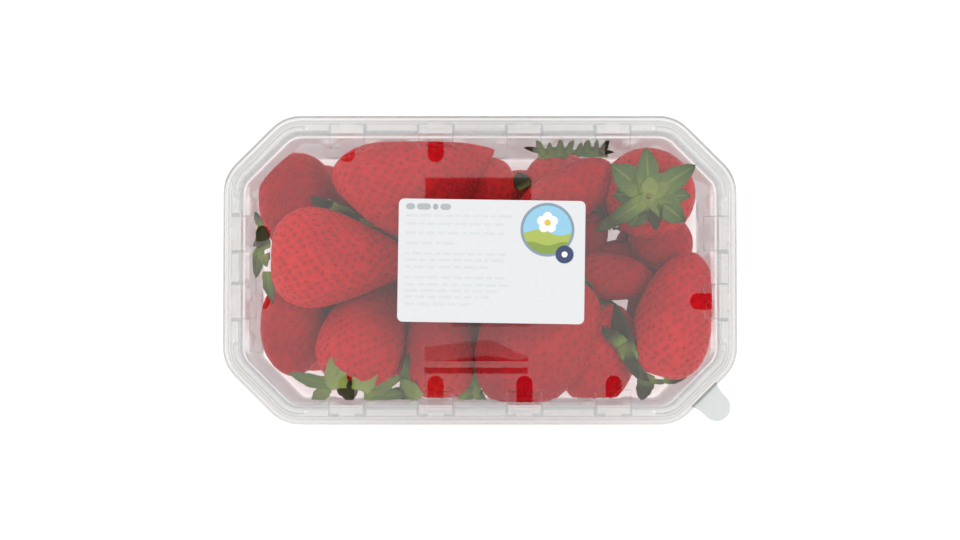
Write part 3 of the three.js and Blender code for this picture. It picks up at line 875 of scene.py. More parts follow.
def skin_point(berry, waves, t, turn):
    """Points on the smooth skin at shares t of the axis and turns round it."""
    cap, tip, width, blunt, _ = berry
    low, low_turn, high, high_turn, cap_slant = waves
    along, side, up = berry_axes(berry)
    swell = np.sin(math.pi * t)
    lumps = low * np.cos(2 * turn + low_turn) + high * np.cos(3 * turn + high_turn) - low
    radius = width / 2 * girth(t, blunt) * (1 + swell * lumps)
    length = np.linalg.norm(np.subtract(tip, cap))
    dent = DENT_SHARE * width * np.exp(-((radius / (DENT_REACH * width)) ** 2)) * (t < 0.4)
    around = np.cos(turn)[..., None] * side + np.sin(turn)[..., None] * up
    slant = radius * (around @ cap_slant) * (1 - t)
    down = t * length + dent + slant
    return np.array(cap, float) + down[..., None] * along + radius[..., None] * around


def meridian(berry, count=600):
    """Shares t of the axis and the lengths of skin from the cap up to each."""
    t = (1 - np.cos(np.linspace(0, math.pi, count))) / 2
    length = np.linalg.norm(np.subtract(berry[1], berry[0]))
    path = np.stack([t * length, berry[2] / 2 * girth(t, berry[3])], 1)
    return t, np.concatenate([[0], np.cumsum(np.linalg.norm(np.diff(path, axis=0), axis=1))])


def berry_waves(name):
    """Size and turn of a berry's low waves, the same in every run, and the slant of its cap end."""
    seed = sum((place + 1) * ord(letter) for place, letter in enumerate(name))
    draw = np.random.default_rng(seed)
    low, high = draw.uniform(*LOW_WAVE), draw.uniform(*HIGH_WAVE)
    low_turn, high_turn = draw.uniform(*ANY_TURN), draw.uniform(*ANY_TURN)
    return low, low_turn, high, high_turn, np.array(CAP_SLANTS.get(name, LEVEL_CAP), float)


t, skin_length = meridian(BERRIES_LARGE["left_big"])
print(f"from cap to tip over the skin of the largest berry: {skin_length[-1]:.0f} mm")

# %% Room inside the pack
WALL_CLEARANCE, FLOOR_CLEARANCE, LID_CLEARANCE = 0.5, 1.0, 1.0  # for anything inside
BERRY_SPARE = 0.7  # further room that a berry leaves for the leaves on it
WALL_HEIGHTS = [2, SHOULDER_Z, SHOULDER_Z + 1]
WALL_INSETS = [FLOOR_INSET, FLANGE_INNER + SHOULDER_IN, FLANGE_INNER]


def keep_inside(points, spare=0.0):
    """Presses points that would leave the tray, or come nearer to its sides than spare, back into it."""
    points = points.copy()
    z = points[:, 2]
    wall = np.interp(z, WALL_HEIGHTS, WALL_INSETS) + WALL_CLEARANCE
    room = wall + flute_depth(z) + spare
    points[:, 0] = np.clip(points[:, 0], room - LENGTH / 2, LENGTH / 2 - room)
    points[:, 1] = np.clip(points[:, 1], room - WIDTH / 2, WIDTH / 2 - room)
    reach = LENGTH / 2 + WIDTH / 2 - CUT_LEG - wall * math.sqrt(2)
    over = np.maximum(np.abs(points[:, 0]) + np.abs(points[:, 1]) - reach, 0) / 2
    points[:, 0] -= np.sign(points[:, 0]) * over
    points[:, 1] -= np.sign(points[:, 1]) * over
    points[:, 2] = np.clip(z, KICK_Z + FLOOR_CLEARANCE, PANEL_Z - LID_CLEARANCE)
    return points


far_off = keep_inside(np.array([[500.0, 0, 30], [0, 500, 30]]))
print(f"room half-way up: {2 * far_off[0, 0]:.0f} x {2 * far_off[1, 1]:.0f} mm")

# %% [markdown]
# ### Seeds and pits
# The seeds (achenes) of a strawberry sit in a spiral pattern: each is turned from the last by the golden
# angle, which spreads them evenly over any surface of revolution. Every seed lies in a pit of the skin, so
# the skin's points near a seed are pushed in, and an attribute called pit lets the skin's material paint
# shade into them. The seeds themselves are one small twelve-cornered body that Geometry Nodes set on each
# point, turned so that it lies in the skin and points to the tip.

# %% Seeds' places
SEED_SPACING = 3.45
SEEDS_MISSING = 0.08  # share of places left empty
STRAY_DOWN, STRAY_ROUND = 0.6, 1.2  # how far a seed strays from its place in the spiral
CAP_BARE, TIP_BARE = 0.03, 0.005  # shares of the skin without seeds, at the cap and at the tip
AXIS_SEEDED = (0.005, 0.995)  # shares of the axis between which seeds stay, wherever they stray
SEED_CELL = 0.866  # area for one seed, in squares of the spacing, where each has six neighbours
GOLDEN_TURN = math.pi * (3 - math.sqrt(5))


def seed_places(berry, waves, spacing):
    """Places, outward directions and directions to the tip of one berry's seeds."""
    t, skin = meridian(berry)
    around = math.pi * berry[2] * girth(t, berry[3])
    area = np.concatenate([[0], np.cumsum(np.diff(skin) * (around[1:] + around[:-1]) / 2)])
    count = int(area[-1] / (SEED_CELL * spacing**2))
    share = CAP_BARE + (1 - CAP_BARE - TIP_BARE) * (np.arange(count) + 0.5) / count
    draw = np.random.default_rng(count)
    stray_down = draw.uniform(-STRAY_DOWN, STRAY_DOWN, count) / skin[-1]
    stray_round = draw.uniform(-STRAY_ROUND, STRAY_ROUND, count) / berry[2]
    at = np.interp(share * area[-1], area, t) + stray_down
    turn = np.arange(count) * GOLDEN_TURN + waves[1] + stray_round
    first, last = AXIS_SEEDED
    kept = (draw.random(count) > SEEDS_MISSING) & (at > first) & (at < last)
    at, turn = at[kept], turn[kept]
    step = 1e-3
    below, above = np.minimum(at + step, 1), at - step
    to_tip = skin_point(berry, waves, below, turn) - skin_point(berry, waves, above, turn)
    across = skin_point(berry, waves, at, turn + step) - skin_point(berry, waves, at, turn - step)
    return skin_point(berry, waves, at, turn), unit(np.cross(across, to_tip)), unit(to_tip)


largest = BERRIES_LARGE["left_big"]
print("seeds on the largest berry:", len(seed_places(largest, berry_waves("left_big"), SEED_SPACING)[0]))

# %% A berry's pitted skin
PIT_DEPTH, PIT_RADIUS = 0.5, 1.2
PIT_SPREAD = (0.65, 1.15)  # least and most share of that radius
SEED_BATCHES = 12  # distances to all seeds at once would take much memory


def pit_shares(points, seeds, reach):
    """How deep in a pit each point is, from 0 to 1."""
    shares = np.zeros(len(points))
    for batch, batch_reach in zip(np.array_split(seeds, SEED_BATCHES), np.array_split(reach, SEED_BATCHES)):
        gaps = ((points[:, None, :] - batch[None]) ** 2).sum(2) / batch_reach**2
        shares = np.maximum(shares, np.exp(-gaps.min(1)))
    return shares


def berry_mesh(berry, waves, step, seeds):
    """Points, faces and the points' facts of one berry's pitted skin."""
    t, skin = meridian(berry)
    rows = round(skin[-1] / step)
    columns = round(math.pi * berry[2] / step)
    at = np.interp(np.linspace(0, skin[-1], rows + 1)[1:-1], skin, t)
    turn = np.arange(columns) * 2 * math.pi / columns
    grid_t, grid_turn = np.meshgrid(at, turn, indexing="ij")
    ring = skin_point(berry, waves, grid_t, grid_turn)
    ends = skin_point(berry, waves, np.array([0.0, 1.0]), np.zeros(2))
    cap_row, tip_row = (np.broadcast_to(end, ring[:1].shape) for end in ends)
    padded = np.concatenate([cap_row, ring, tip_row])
    out = unit(np.cross(np.roll(ring, -1, 1) - np.roll(ring, 1, 1), padded[2:] - padded[:-2]))
    flat = ring.reshape(-1, 3)
    reach = PIT_RADIUS * np.random.default_rng(rows).uniform(*PIT_SPREAD, len(seeds))
    pit = pit_shares(flat, seeds, reach)
    flat = flat - PIT_DEPTH * pit[:, None] * out.reshape(-1, 3)
    points = keep_inside(np.concatenate([ends[:1], flat, ends[1:]]), BERRY_SPARE)
    here = 1 + np.arange(columns)
    after = 1 + (np.arange(columns) + 1) % columns
    last_row = (rows - 2) * columns
    faces = np.stack([np.zeros(columns, int), after, here], 1).tolist()
    faces += band_faces(rows - 1, columns, first=1)
    foot = np.full(columns, len(points) - 1)
    faces += np.stack([last_row + here, last_row + after, foot], 1).tolist()
    facts = {
        "pit": np.concatenate([[0], pit, [0]]),
        "down": np.concatenate([[0], grid_t.ravel(), [1]]),
        "ripe": np.full(len(points), berry[4]),
    }
    return points, faces, facts


def join_parts(parts):
    """One list of points and faces, and facts end to end, out of many."""
    points, faces, facts, first = [], [], {}, 0
    for part_points, part_faces, part_facts in parts:
        points.append(part_points)
        faces += [[corner + first for corner in face] for face in part_faces]
        first += len(part_points)
        for fact, values in part_facts.items():
            facts.setdefault(fact, []).append(values)
    facts = {fact: np.concatenate(values) for fact, values in facts.items()}
    return np.concatenate(points), faces, facts


print("pits are", PIT_DEPTH, "mm deep")

# %% [markdown]
# ### Strawberry skin
# Ripe strawberry skin is a thin clear layer over red flesh. One flat red would look like plastic. Light
# goes in a millimetre and comes out redder, so the shader scatters a little below the surface, and the skin
# has a soft wet gloss. Pits get painted shade, a darker red, the shoulders under the cap are lighter, and
# soft patches keep any berry from being the same red all over. Three facts stored on the points say where:
# pit, down and ripe.

# %% Strawberry skin
BRIGHT_RED, DARK_RED = linear("#da121d"), linear("#9e0616")
# the pit red and its share are painted shade, darkening the seeds' pits
SHOULDER_RED, PIT_SHADE_RED = linear("#e22a28"), linear("#6c0410")
PIT_SHADE_SHARE = 0.42

strawberry_skin, tree = new_material("ripe_strawberry_skin")
place = add_node(tree, "ShaderNodeTexCoord").outputs["Object"]
patches = add_node(
    tree, "ShaderNodeTexNoise", {"Vector": place, "Scale": grain(18.2), "Detail": 3.0}
).outputs["Fac"]
ripe = add_node(tree, "ShaderNodeAttribute", attribute_name="ripe").outputs["Fac"]
pit = add_node(tree, "ShaderNodeAttribute", attribute_name="pit").outputs["Fac"]
down = add_node(tree, "ShaderNodeAttribute", attribute_name="down").outputs["Fac"]
mottled = add_node(
    tree,
    "ShaderNodeMapRange",
    {"Value": patches, "From Min": 0.3, "From Max": 0.7, "To Min": -0.25, "To Max": 0.25},
).outputs[0]
depth = add_node(tree, "ShaderNodeMath", {0: ripe, 1: mottled}, operation="ADD").outputs[0]
red = add_node(tree, "ShaderNodeValToRGB", {"Fac": depth})
red.color_ramp.elements[0].color = BRIGHT_RED
red.color_ramp.elements[1].color = DARK_RED
shoulder = add_node(
    tree,
    "ShaderNodeMapRange",
    {"Value": down, "From Min": 0.7, "From Max": 0.05, "To Min": 0.0, "To Max": 0.6},
).outputs[0]
paler = add_node(
    tree, "ShaderNodeMix", {0: shoulder, 6: red.outputs[0], 7: SHOULDER_RED}, data_type="RGBA"
).outputs[2]
# painted shade: points in a pit are darkened towards the pit red
pit_shade = add_node(tree, "ShaderNodeMath", {0: pit, 1: PIT_SHADE_SHARE}, operation="MULTIPLY").outputs[0]
skin_colour = add_node(
    tree, "ShaderNodeMix", {0: pit_shade, 6: paler, 7: PIT_SHADE_RED}, data_type="RGBA"
).outputs[2]
fine = add_node(
    tree, "ShaderNodeTexNoise", {"Vector": place, "Scale": grain(1.11), "Detail": 2.0}
).outputs["Fac"]
bump = add_node(tree, "ShaderNodeBump", {"Height": fine, "Strength": 0.12, "Distance": 0.0003})
surface = add_node(
    tree,
    "ShaderNodeBsdfPrincipled",
    {
        "Base Color": skin_colour,
        "Roughness": 0.36,
        "IOR": 1.4,
        "Specular IOR Level": 0.03,
        "Subsurface Weight": 0.12,
        "Subsurface Radius": (1.0, 0.25, 0.15),
        "Subsurface Scale": 0.0012,
        "Normal": bump.outputs[0],
    },
)
show(tree, surface.outputs[0])
print("made", strawberry_skin.name)

# %% Make the berries
SEED_FOOT = PIT_DEPTH - 0.12  # how far a seed's middle lies under the unpitted skin
SEED_SIZES = (0.85, 1.1)
BERRY_PIECES = {
    # berries, mm between the points of their skin, mm between their seeds
    "berries_large": (BERRIES_LARGE, 0.58, SEED_SPACING),
    "berries_medium": (BERRIES_MEDIUM, 0.6, SEED_SPACING),
    "berries_small": (BERRIES_SMALL, 0.6, SEED_SPACING),
    "berries_below": (BERRIES_BELOW, 0.9, SEED_SPACING + 0.1),
}

seed_points, seed_out, seed_to_tip, seed_size = [], [], [], []


def make_berries(name, berries, step, spacing):
    """One piece of berries, and their seeds' places for the seeds' own piece."""
    parts = []
    for berry_name, berry in berries.items():
        waves = berry_waves(berry_name)
        place, out, to_tip = seed_places(berry, waves, spacing)
        parts.append(berry_mesh(berry, waves, step, place))
        seed_points.append(keep_inside(place - SEED_FOOT * out, BERRY_SPARE))
        seed_out.append(out)
        seed_to_tip.append(to_tip)
        seed_size.append(np.random.default_rng(len(place)).uniform(*SEED_SIZES, len(place)))
    points, faces, facts = join_parts(parts)
    piece = make_mesh(name, points, faces, [strawberry_skin])
    add_facts(piece, facts)
    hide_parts("berries")
    piece.data.calc_loop_triangles()
    print(f"{name}: {len(berries)} berries, {len(piece.data.loop_triangles)} triangles")
    return piece


berry_pieces = [make_berries(name, *settings) for name, settings in BERRY_PIECES.items()]

# %% [markdown]
# ### Seeds
# An achene is a dry, hard, oval seed case about 1.4 mm long. On a ripe berry it is a dull brownish red that
# stands out little from the skin. Geometry Nodes stretch a small ball to that shape and set a copy on each
# seed's place, first turned to face out of the skin and then to point to the tip.

# %% Seeds
SEED_LENGTH, SEED_WIDTH, SEED_THICKNESS = 1.4, 0.9, 0.6

achene, tree = new_material("dry_achene")
place = add_node(tree, "ShaderNodeTexCoord").outputs["Object"]
patches = add_node(tree, "ShaderNodeTexNoise", {"Vector": place, "Scale": grain(3.33)}).outputs["Fac"]
brown = add_node(tree, "ShaderNodeValToRGB", {"Fac": patches})
brown.color_ramp.elements[0].position = 0.35
brown.color_ramp.elements[0].color = linear("#ac1a13")
brown.color_ramp.elements[1].position = 0.7
brown.color_ramp.elements[1].color = linear("#b83624")
surface = add_node(
    tree,
    "ShaderNodeBsdfPrincipled",
    {"Base Color": brown.outputs[0], "Roughness": 0.5, "Specular IOR Level": 0.06},
)
show(tree, surface.outputs[0])

seed_tree, sizes = new_tree("seeds_in_pits", {"Length": 0.0014, "Width": 0.0009, "Thickness": 0.0006})
ball = add_node(seed_tree, "GeometryNodeMeshIcoSphere", {"Radius": 0.5, "Subdivisions": 1})
extent = add_node(
    seed_tree, "ShaderNodeCombineXYZ", {"X": sizes["Length"], "Y": sizes["Width"], "Z": sizes["Thickness"]}
)
seed = add_node(
    seed_tree, "GeometryNodeTransform", {"Geometry": ball.outputs["Mesh"], "Scale": extent.outputs[0]}
)
upright = add_node(
    seed_tree,
    "FunctionNodeAlignRotationToVector",
    {"Vector": fact_node(seed_tree, "out", "FLOAT_VECTOR")},
    axis="Z",
)
turned = add_node(
    seed_tree,
    "FunctionNodeAlignRotationToVector",
    {"Rotation": upright.outputs[0], "Vector": fact_node(seed_tree, "to_tip", "FLOAT_VECTOR")},
    axis="X",
    pivot_axis="Z",
)
copies = add_node(
    seed_tree,
    "GeometryNodeInstanceOnPoints",
    {
        "Points": sizes["Geometry"],
        "Instance": seed.outputs[0],
        "Rotation": turned.outputs[0],
        "Scale": fact_node(seed_tree, "size"),
    },
)
smooth = add_node(seed_tree, "GeometryNodeSetShadeSmooth", {0: copies.outputs[0]})
end_tree(seed_tree, smooth.outputs[0], achene)
seeds = grow_on_points(
    "achenes",
    seed_tree,
    np.concatenate(seed_points),
    {
        "out": np.concatenate(seed_out),
        "to_tip": np.concatenate(seed_to_tip),
        "size": np.concatenate(seed_size),
    },
    {"Length": SEED_LENGTH * MM, "Width": SEED_WIDTH * MM, "Thickness": SEED_THICKNESS * MM},
)
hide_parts("berries")
print("seeds:", sum(len(p) for p in seed_points), "faces:", len(seeds.data.polygons))

# %% [markdown]
# ## Green caps
# A strawberry's cap (calyx) is a ring of about ten thin pointed leaves round the stump of the stalk, five
# long ones and five shorter ones between. Fresh ones arch back over the berry's shoulders, and in a shut
# punnet they are pushed flat, folded and curled. Each leaf here is a small grid laid along a curved
# midrib: it has the outline of a lance head, a shallow fold along the midrib and a wavy edge. Leaves that
# can be seen get their own root and tip; the others stand in rings. Two facts, along and across, let the
# material draw the veins.

# %% Leaf maker
LEAF_ROWS, LEAF_COLUMNS = 16, 6
LEAF_THICKNESS = 0.3
LEAF_LIFT = 0.12  # how far the midrib arches, as a share of the leaf's length
TOOTH_DEPTH, TEETH = 0.16, 3.4  # share of the width, and number along an edge
WAVE_SHARE = 0.09  # height of the edge's waves, as a share of the width
LEAF_FOLDS, LEAF_RIPPLES = (0.1, 0.3), (1.2, 2.2)


def lance(s):
    """A leaf's half-width at share s of its length, as a share of its widest."""
    return ((1 - s) ** 0.92 * (0.5 + 1.6 * s)) / 0.71


def leaf(root, tip, width, facing, draw, lift=LEAF_LIFT, tone=0.0):
    """One cap leaf from root to tip: points, faces and facts."""
    root, tip, facing = (np.array(v, float) for v in (root, tip, facing))
    length = np.linalg.norm(tip - root)
    middle = (root + tip) / 2 + unit(facing) * lift * length
    s = np.linspace(0, 1, LEAF_ROWS + 1)[:, None]
    rib = curve(root, middle, tip, s)
    ahead = unit(2 * (1 - s) * (middle - root) + 2 * s * (tip - middle))
    face = unit(facing - (ahead @ facing)[:, None] * ahead)
    side = np.cross(ahead, face)
    teeth = 1 + TOOTH_DEPTH * ((TEETH * s + draw.uniform(0, 1)) % 1 - 0.5)
    half = width / 2 * teeth * lance(s)
    fold = draw.uniform(*LEAF_FOLDS)
    phase, ripples = draw.uniform(*ANY_TURN, 2), draw.uniform(*LEAF_RIPPLES)
    points, facts = [], {"along": [], "across": [], "tone": []}
    for share in np.linspace(-1, 1, LEAF_COLUMNS + 1):
        edge = abs(share)
        ripple = np.sin(2 * math.pi * ripples * s + phase[0 if share < 0 else 1])
        rise = fold * half * edge**1.3 + WAVE_SHARE * width * edge**2 * ripple * np.sqrt(s)
        points.append(rib + side * half * share + face * rise)
        facts["along"].append(s[:, 0])
        facts["across"].append(np.full(len(s), share))
        facts["tone"].append(np.full(len(s), tone))
    points = np.stack(points, 1).reshape(-1, 3)
    columns = LEAF_COLUMNS + 1
    faces = []
    for row in range(LEAF_ROWS):
        for column in range(LEAF_COLUMNS):
            a = row * columns + column
            faces.append([a, a + 1, a + columns + 1, a + columns])
    facts = {fact: np.stack(values, 1).ravel() for fact, values in facts.items()}
    return keep_inside(points), faces, facts


print("a leaf has", LEAF_ROWS * LEAF_COLUMNS, "faces before it gets its thickness")

# %% Rings of leaves
CAP_RADIUS, CAP_SINK = 1.6, 0.6  # where a leaf starts, out from the cap's middle and down the berry
SHORTER = 0.78  # every other leaf
RING_LIFT = 0.14
RING_WIDTHS, RING_TONES = (4.2, 6.2), (0, 0.5)


def cap_ring(berry, count, length, spread, draw):
    """Leaves round a berry's cap. spread is 0 flat across the cap, 1 laid back on the berry."""
    along, side, up = berry_axes(berry)
    centre = np.array(berry[0], float) + along * CAP_SINK
    leaves = []
    for k in range(count):
        turn = 2 * math.pi * (k + draw.uniform(-0.25, 0.25)) / count
        outward = math.cos(turn) * side + math.sin(turn) * up
        reach = length * (1.0 if k % 2 == 0 else SHORTER) * draw.uniform(0.85, 1.1)
        back = spread * draw.uniform(0.6, 1.2)
        root = centre + outward * CAP_RADIUS
        tip = root + outward * reach * math.cos(back) + along * reach * math.sin(back)
        facing = -along * math.cos(back) + outward * math.sin(back)
        width, tone = draw.uniform(*RING_WIDTHS), draw.uniform(*RING_TONES)
        leaves.append(leaf(root, tip, width, facing, draw, RING_LIFT, tone))
    return leaves


print("the cap's leaves start", CAP_RADIUS, "mm from its middle")

# %% Leaves placed one by one
# berry: which way the leaves face, then root, tip, width and tone of each. Tone is 0 for green; above that
# a leaf turns dark brown from its tip, which is drying on some leaves and painted shade on those that lie
# in shadow, and below it is paler.
PLACED_LEAVES = {
    "right_back": ((0, 0, 1), [
        ((62.7, 28.6, 61.5), (62.0, 46.0, 60.0), 8.4, 0.1),
        ((64.3, 29.0, 61.4), (80.4, 39.6, 58.5), 8.8, 0.0),
        ((60.9, 29.6, 61.4), (49.0, 39.8, 57.5), 11.0, 0.1),
        ((61.6, 28.8, 61.0), (49.6, 28.6, 56.0), 9.6, 0.2),
        ((62.8, 27.1, 61.6), (42.6, 14.2, 61.0), 6.4, 0.7),
        ((62.6, 28.4, 61.2), (56.2, 16.4, 57.0), 10.0, 0.0),
        ((64.1, 28.1, 61.4), (65.6, 15.0, 59.0), 6.4, 0.9),
        ((64.5, 28.4, 61.4), (78.4, 28.0, 58.0), 7.4, 0.0),
        ((64.2, 28.0, 61.2), (76.4, 18.4, 56.5), 9.8, 0.3),
        ((62.8, 28.4, 62.2), (63.6, 35.0, 62.6), 6.6, -0.6),
        ((63.4, 28.2, 62.0), (70.6, 32.6, 61.6), 5.6, -0.5),
        ((63.4, 28.4, 62.0), (59.6, 21.8, 61.0), 5.6, -0.4),
    ]),
    # the two leaves of tone 3 lie in shadow: their dark brown is painted shade
    "left_big": ((-0.35, 0, 1), [
        ((-82.4, 17.6, 46), (-84.6, 23.0, 46), 3.0, 0.9),
        ((-80.4, 8.6, 49), (-82.6, 18.4, 44), 6.0, 3.0),
        ((-80.6, 12.0, 46), (-86.4, 10.4, 42), 2.6, 3.0),
        ((-82.3, 9.4, 48), (-84.6, -1.8, 42), 5.0, 0.5),
        ((-80.0, 0.4, 48), (-78.0, -11.2, 41), 4.4, 0.4),
        ((-80.6, 6.4, 51), (-79.8, 2.0, 53), 3.4, -0.3),
    ]),
    # the leaf of tone 3 lies in shadow: its dark brown is painted shade
    "front_left": ((0, -0.4, 1), [
        ((-54.3, -42.0, 46), (-72.4, -37.6, 43), 5.4, -0.1),
        ((-57.3, -43.1, 45), (-63.2, -48.4, 40), 5.6, -0.3),
        ((-53.0, -43.5, 50), (-55.0, -31.5, 54), 8.4, -0.6),
        ((-49.8, -36.2, 53), (-49.4, -48.6, 43), 9.0, 3.0),
        ((-44.8, -44.3, 50), (-40.2, -31.6, 53), 8.6, -0.6),
        ((-43.0, -45.0, 46), (-29.3, -38.8, 45), 5.4, -0.4),
        ((-43.6, -46.0, 45), (-27.0, -45.0, 42), 5.4, -0.1),
    ]),
    "front_mid": ((0, -0.4, 1), [
        ((-27.0, -45.4, 41), (-25.4, -28.4, 48), 7.4, 0.6),
        ((-22.0, -46.4, 44), (-30.0, -40.0, 46), 6.0, -0.4),
        ((-24.5, -46.4, 40), (-34.6, -43.9, 39), 5.6, 0.1),
        ((-4.0, -47.2, 42), (-5.5, -30.5, 45), 9.6, 0.0),
        ((-8.5, -45.6, 42), (1.6, -44.4, 43), 5.0, 0.1),
        ((-2.1, -43.4, 42), (2.5, -49.8, 39), 3.8, 0.2),
        ((4.0, -48.0, 40), (10.0, -48.8, 38), 3.0, 0.1),
    ]),
    # these leaves lie in shadow between the berries: their brown is painted shade
    "back": ((-0.5, -0.5, 1), [
        ((-48.0, 21.0, 46), (-64.0, 28.8, 45), 8.0, 1.2),
        ((-58.0, 26.0, 46), (-40.0, 14.4, 47), 8.0, 1.0),
        ((-46.2, 19.0, 47), (-28.0, 8.6, 47), 7.0, 1.1),
    ]),
    "right_big": ((-0.5, -0.5, 1), [
        ((57.0, -33.0, 51), (50.6, -11.6, 52), 8.6, 1.5),
        ((54.0, -26.5, 52), (45.4, -20.4, 54), 6.0, 1.2),
        ((53.4, -23.0, 52), (59.4, -40.5, 49), 5.4, 1.0),
        ((55.6, -31.0, 51), (64.0, -42.0, 46), 4.2, 0.8),
        ((63.4, -38.0, 48), (60.6, -48.0, 42), 6.6, 1.3),
        ((64.1, -40.5, 45), (71.2, -40.9, 43), 2.2, 0.1),
        ((69.0, -40.2, 45), (77.6, -39.4, 44), 3.4, 1.4),
    ]),
    "back_low": ((0, 0.35, 1), [
        ((22.0, 44.4, 46), (37.0, 45.6, 47), 4.4, 0.1),
        ((48.0, 45.0, 46), (33.0, 45.0, 47), 4.4, 0.0),
        ((25.0, 45.0, 47), (16.6, 47.0, 48), 2.4, 1.4),
        ((24.0, 44.0, 47), (21.0, 49.8, 52), 2.8, 0.2),
        ((26.5, 44.0, 47), (26.0, 48.8, 51), 2.4, 0.1),
        ((30.0, 43.5, 47), (30.2, 50.4, 53), 2.8, 0.0),
        ((32.6, 44.0, 47), (35.2, 50.0, 52), 2.6, 0.1),
        ((37.0, 44.0, 46), (38.2, 48.8, 51), 2.6, 0.1),
        ((40.0, 44.0, 46), (40.6, 50.2, 53), 3.0, 0.0),
        ((43.5, 44.4, 46), (44.0, 50.0, 52), 2.0, 0.6),
        ((45.6, 44.6, 46), (48.6, 50.0, 52), 2.6, 1.8),
        ((41.5, 45.0, 46), (50.4, 45.4, 47), 2.4, 1.4),
    ]),
    "back_mid": ((0, -0.3, 1), [
        ((17.0, 32.2, 43), (14.2, 38.0, 44), 6.4, 1.4),
        ((15.0, 31.4, 42), (13.2, 37.0, 42), 3.4, 0.5),
    ]),
}
print(sum(len(leaves) for _, leaves in PLACED_LEAVES.values()), "leaves placed by hand")

# %% Caps with a ring of leaves
# berry: number of leaves, their length in millimetres, and how far they lie back
RINGED = {
    "left_back": (9, 11, 0.5),
    "left_front": (9, 11, 0.5),
    "front_big": (10, 14, 0.5),
    "front_low": (9, 10, 0.7),
    "right_mid": (8, 9, 0.5),
    "back_right": (9, 11, 0.6),
    "right_low": (8, 9, 0.6),
}
RING_BELOW = (8, 9.5, 0.75)
print(len(RINGED), "upper caps and all", len(BERRIES_BELOW), "lower ones have a ring of leaves")

# %% [markdown]
# ### Cap leaves' finish
# A cap leaf is matt and slightly hairy above, yellow-green where it joins the stalk and duller green
# towards the tip, with a pale midrib and side veins about a millimetre apart. Old tips dry to brown, and
# the same dark brown is painted shade on leaves that lie in shadow. The veins follow the leaf, so they are
# drawn from the two facts along and across and not from a texture in space: distance from the midrib
# slants them forward, and a sine repeats them.

# %% Cap leaf material
# the dark brown is both dried tips and painted shade on leaves in shadow
PALE_GREEN, DRIED_AND_SHADED_BROWN = linear("#a3ab5c"), linear("#2e2408")
VEIN_SLANT, VEIN_TURN = -0.3, 62.0  # a vein for every tenth of a leaf's length, about 1.1 mm

cap_leaf, tree = new_material("strawberry_cap_leaf")
along = add_node(tree, "ShaderNodeAttribute", attribute_name="along").outputs["Fac"]
across = add_node(tree, "ShaderNodeAttribute", attribute_name="across").outputs["Fac"]
tone = add_node(tree, "ShaderNodeAttribute", attribute_name="tone").outputs["Fac"]
place = add_node(tree, "ShaderNodeTexCoord").outputs["Object"]
patches = add_node(
    tree, "ShaderNodeTexNoise", {"Vector": place, "Scale": grain(6.25), "Detail": 3.0}
).outputs["Fac"]
green = add_node(tree, "ShaderNodeValToRGB", {"Fac": along})
green.color_ramp.elements[0].color = linear("#7f9236")
green.color_ramp.elements[1].color = linear("#415a2a")
middle = green.color_ramp.elements.new(0.4)
middle.color = linear("#597032")
from_rib = add_node(tree, "ShaderNodeMath", {0: across}, operation="ABSOLUTE").outputs[0]
rib = add_node(
    tree,
    "ShaderNodeMapRange",
    {"Value": from_rib, "From Min": 0.16, "From Max": 0.0, "To Min": 0.0, "To Max": 0.45},
).outputs[0]
slanted = add_node(
    tree, "ShaderNodeMath", {0: from_rib, 1: VEIN_SLANT, 2: along}, operation="MULTIPLY_ADD"
).outputs[0]
repeated = add_node(tree, "ShaderNodeMath", {0: slanted, 1: VEIN_TURN}, operation="MULTIPLY").outputs[0]
vein = add_node(tree, "ShaderNodeMath", {0: repeated}, operation="SINE").outputs[0]
veins = add_node(
    tree,
    "ShaderNodeMapRange",
    {"Value": vein, "From Min": 0.6, "From Max": 1.0, "To Min": 0.0, "To Max": 0.22},
).outputs[0]
lines = add_node(tree, "ShaderNodeMath", {0: rib, 1: veins}, operation="MAXIMUM").outputs[0]
young = add_node(tree, "ShaderNodeMath", {0: tone, 1: -0.8}, operation="MULTIPLY").outputs[0]
pale = add_node(tree, "ShaderNodeMath", {0: lines, 1: young}, operation="MAXIMUM").outputs[0]
veined = add_node(
    tree, "ShaderNodeMix", {0: pale, 6: green.outputs[0], 7: PALE_GREEN}, data_type="RGBA"
).outputs[2]
# dark brown from the tip by tone: drying, and painted shade on leaves in shadow
dry_and_shade = add_node(tree, "ShaderNodeMath", {0: tone, 1: along}, operation="MULTIPLY").outputs[0]
dry_and_shade_patch = add_node(tree, "ShaderNodeMath", {0: dry_and_shade, 1: patches}, operation="MULTIPLY").outputs[0]
dried_and_shaded = add_node(
    tree,
    "ShaderNodeMapRange",
    {"Value": dry_and_shade_patch, "From Min": 0.08, "From Max": 0.3, "To Min": 0.0, "To Max": 0.9},
).outputs[0]
leaf_colour = add_node(
    tree, "ShaderNodeMix", {0: dried_and_shaded, 6: veined, 7: DRIED_AND_SHADED_BROWN}, data_type="RGBA"
).outputs[2]
bump = add_node(tree, "ShaderNodeBump", {"Height": veins, "Strength": 0.5, "Distance": 0.0002})
surface = add_node(
    tree,
    "ShaderNodeBsdfPrincipled",
    {"Base Color": leaf_colour, "Roughness": 0.6, "Specular IOR Level": 0.25, "Normal": bump.outputs[0]},
)
show(tree, surface.outputs[0])
print("made", cap_leaf.name)

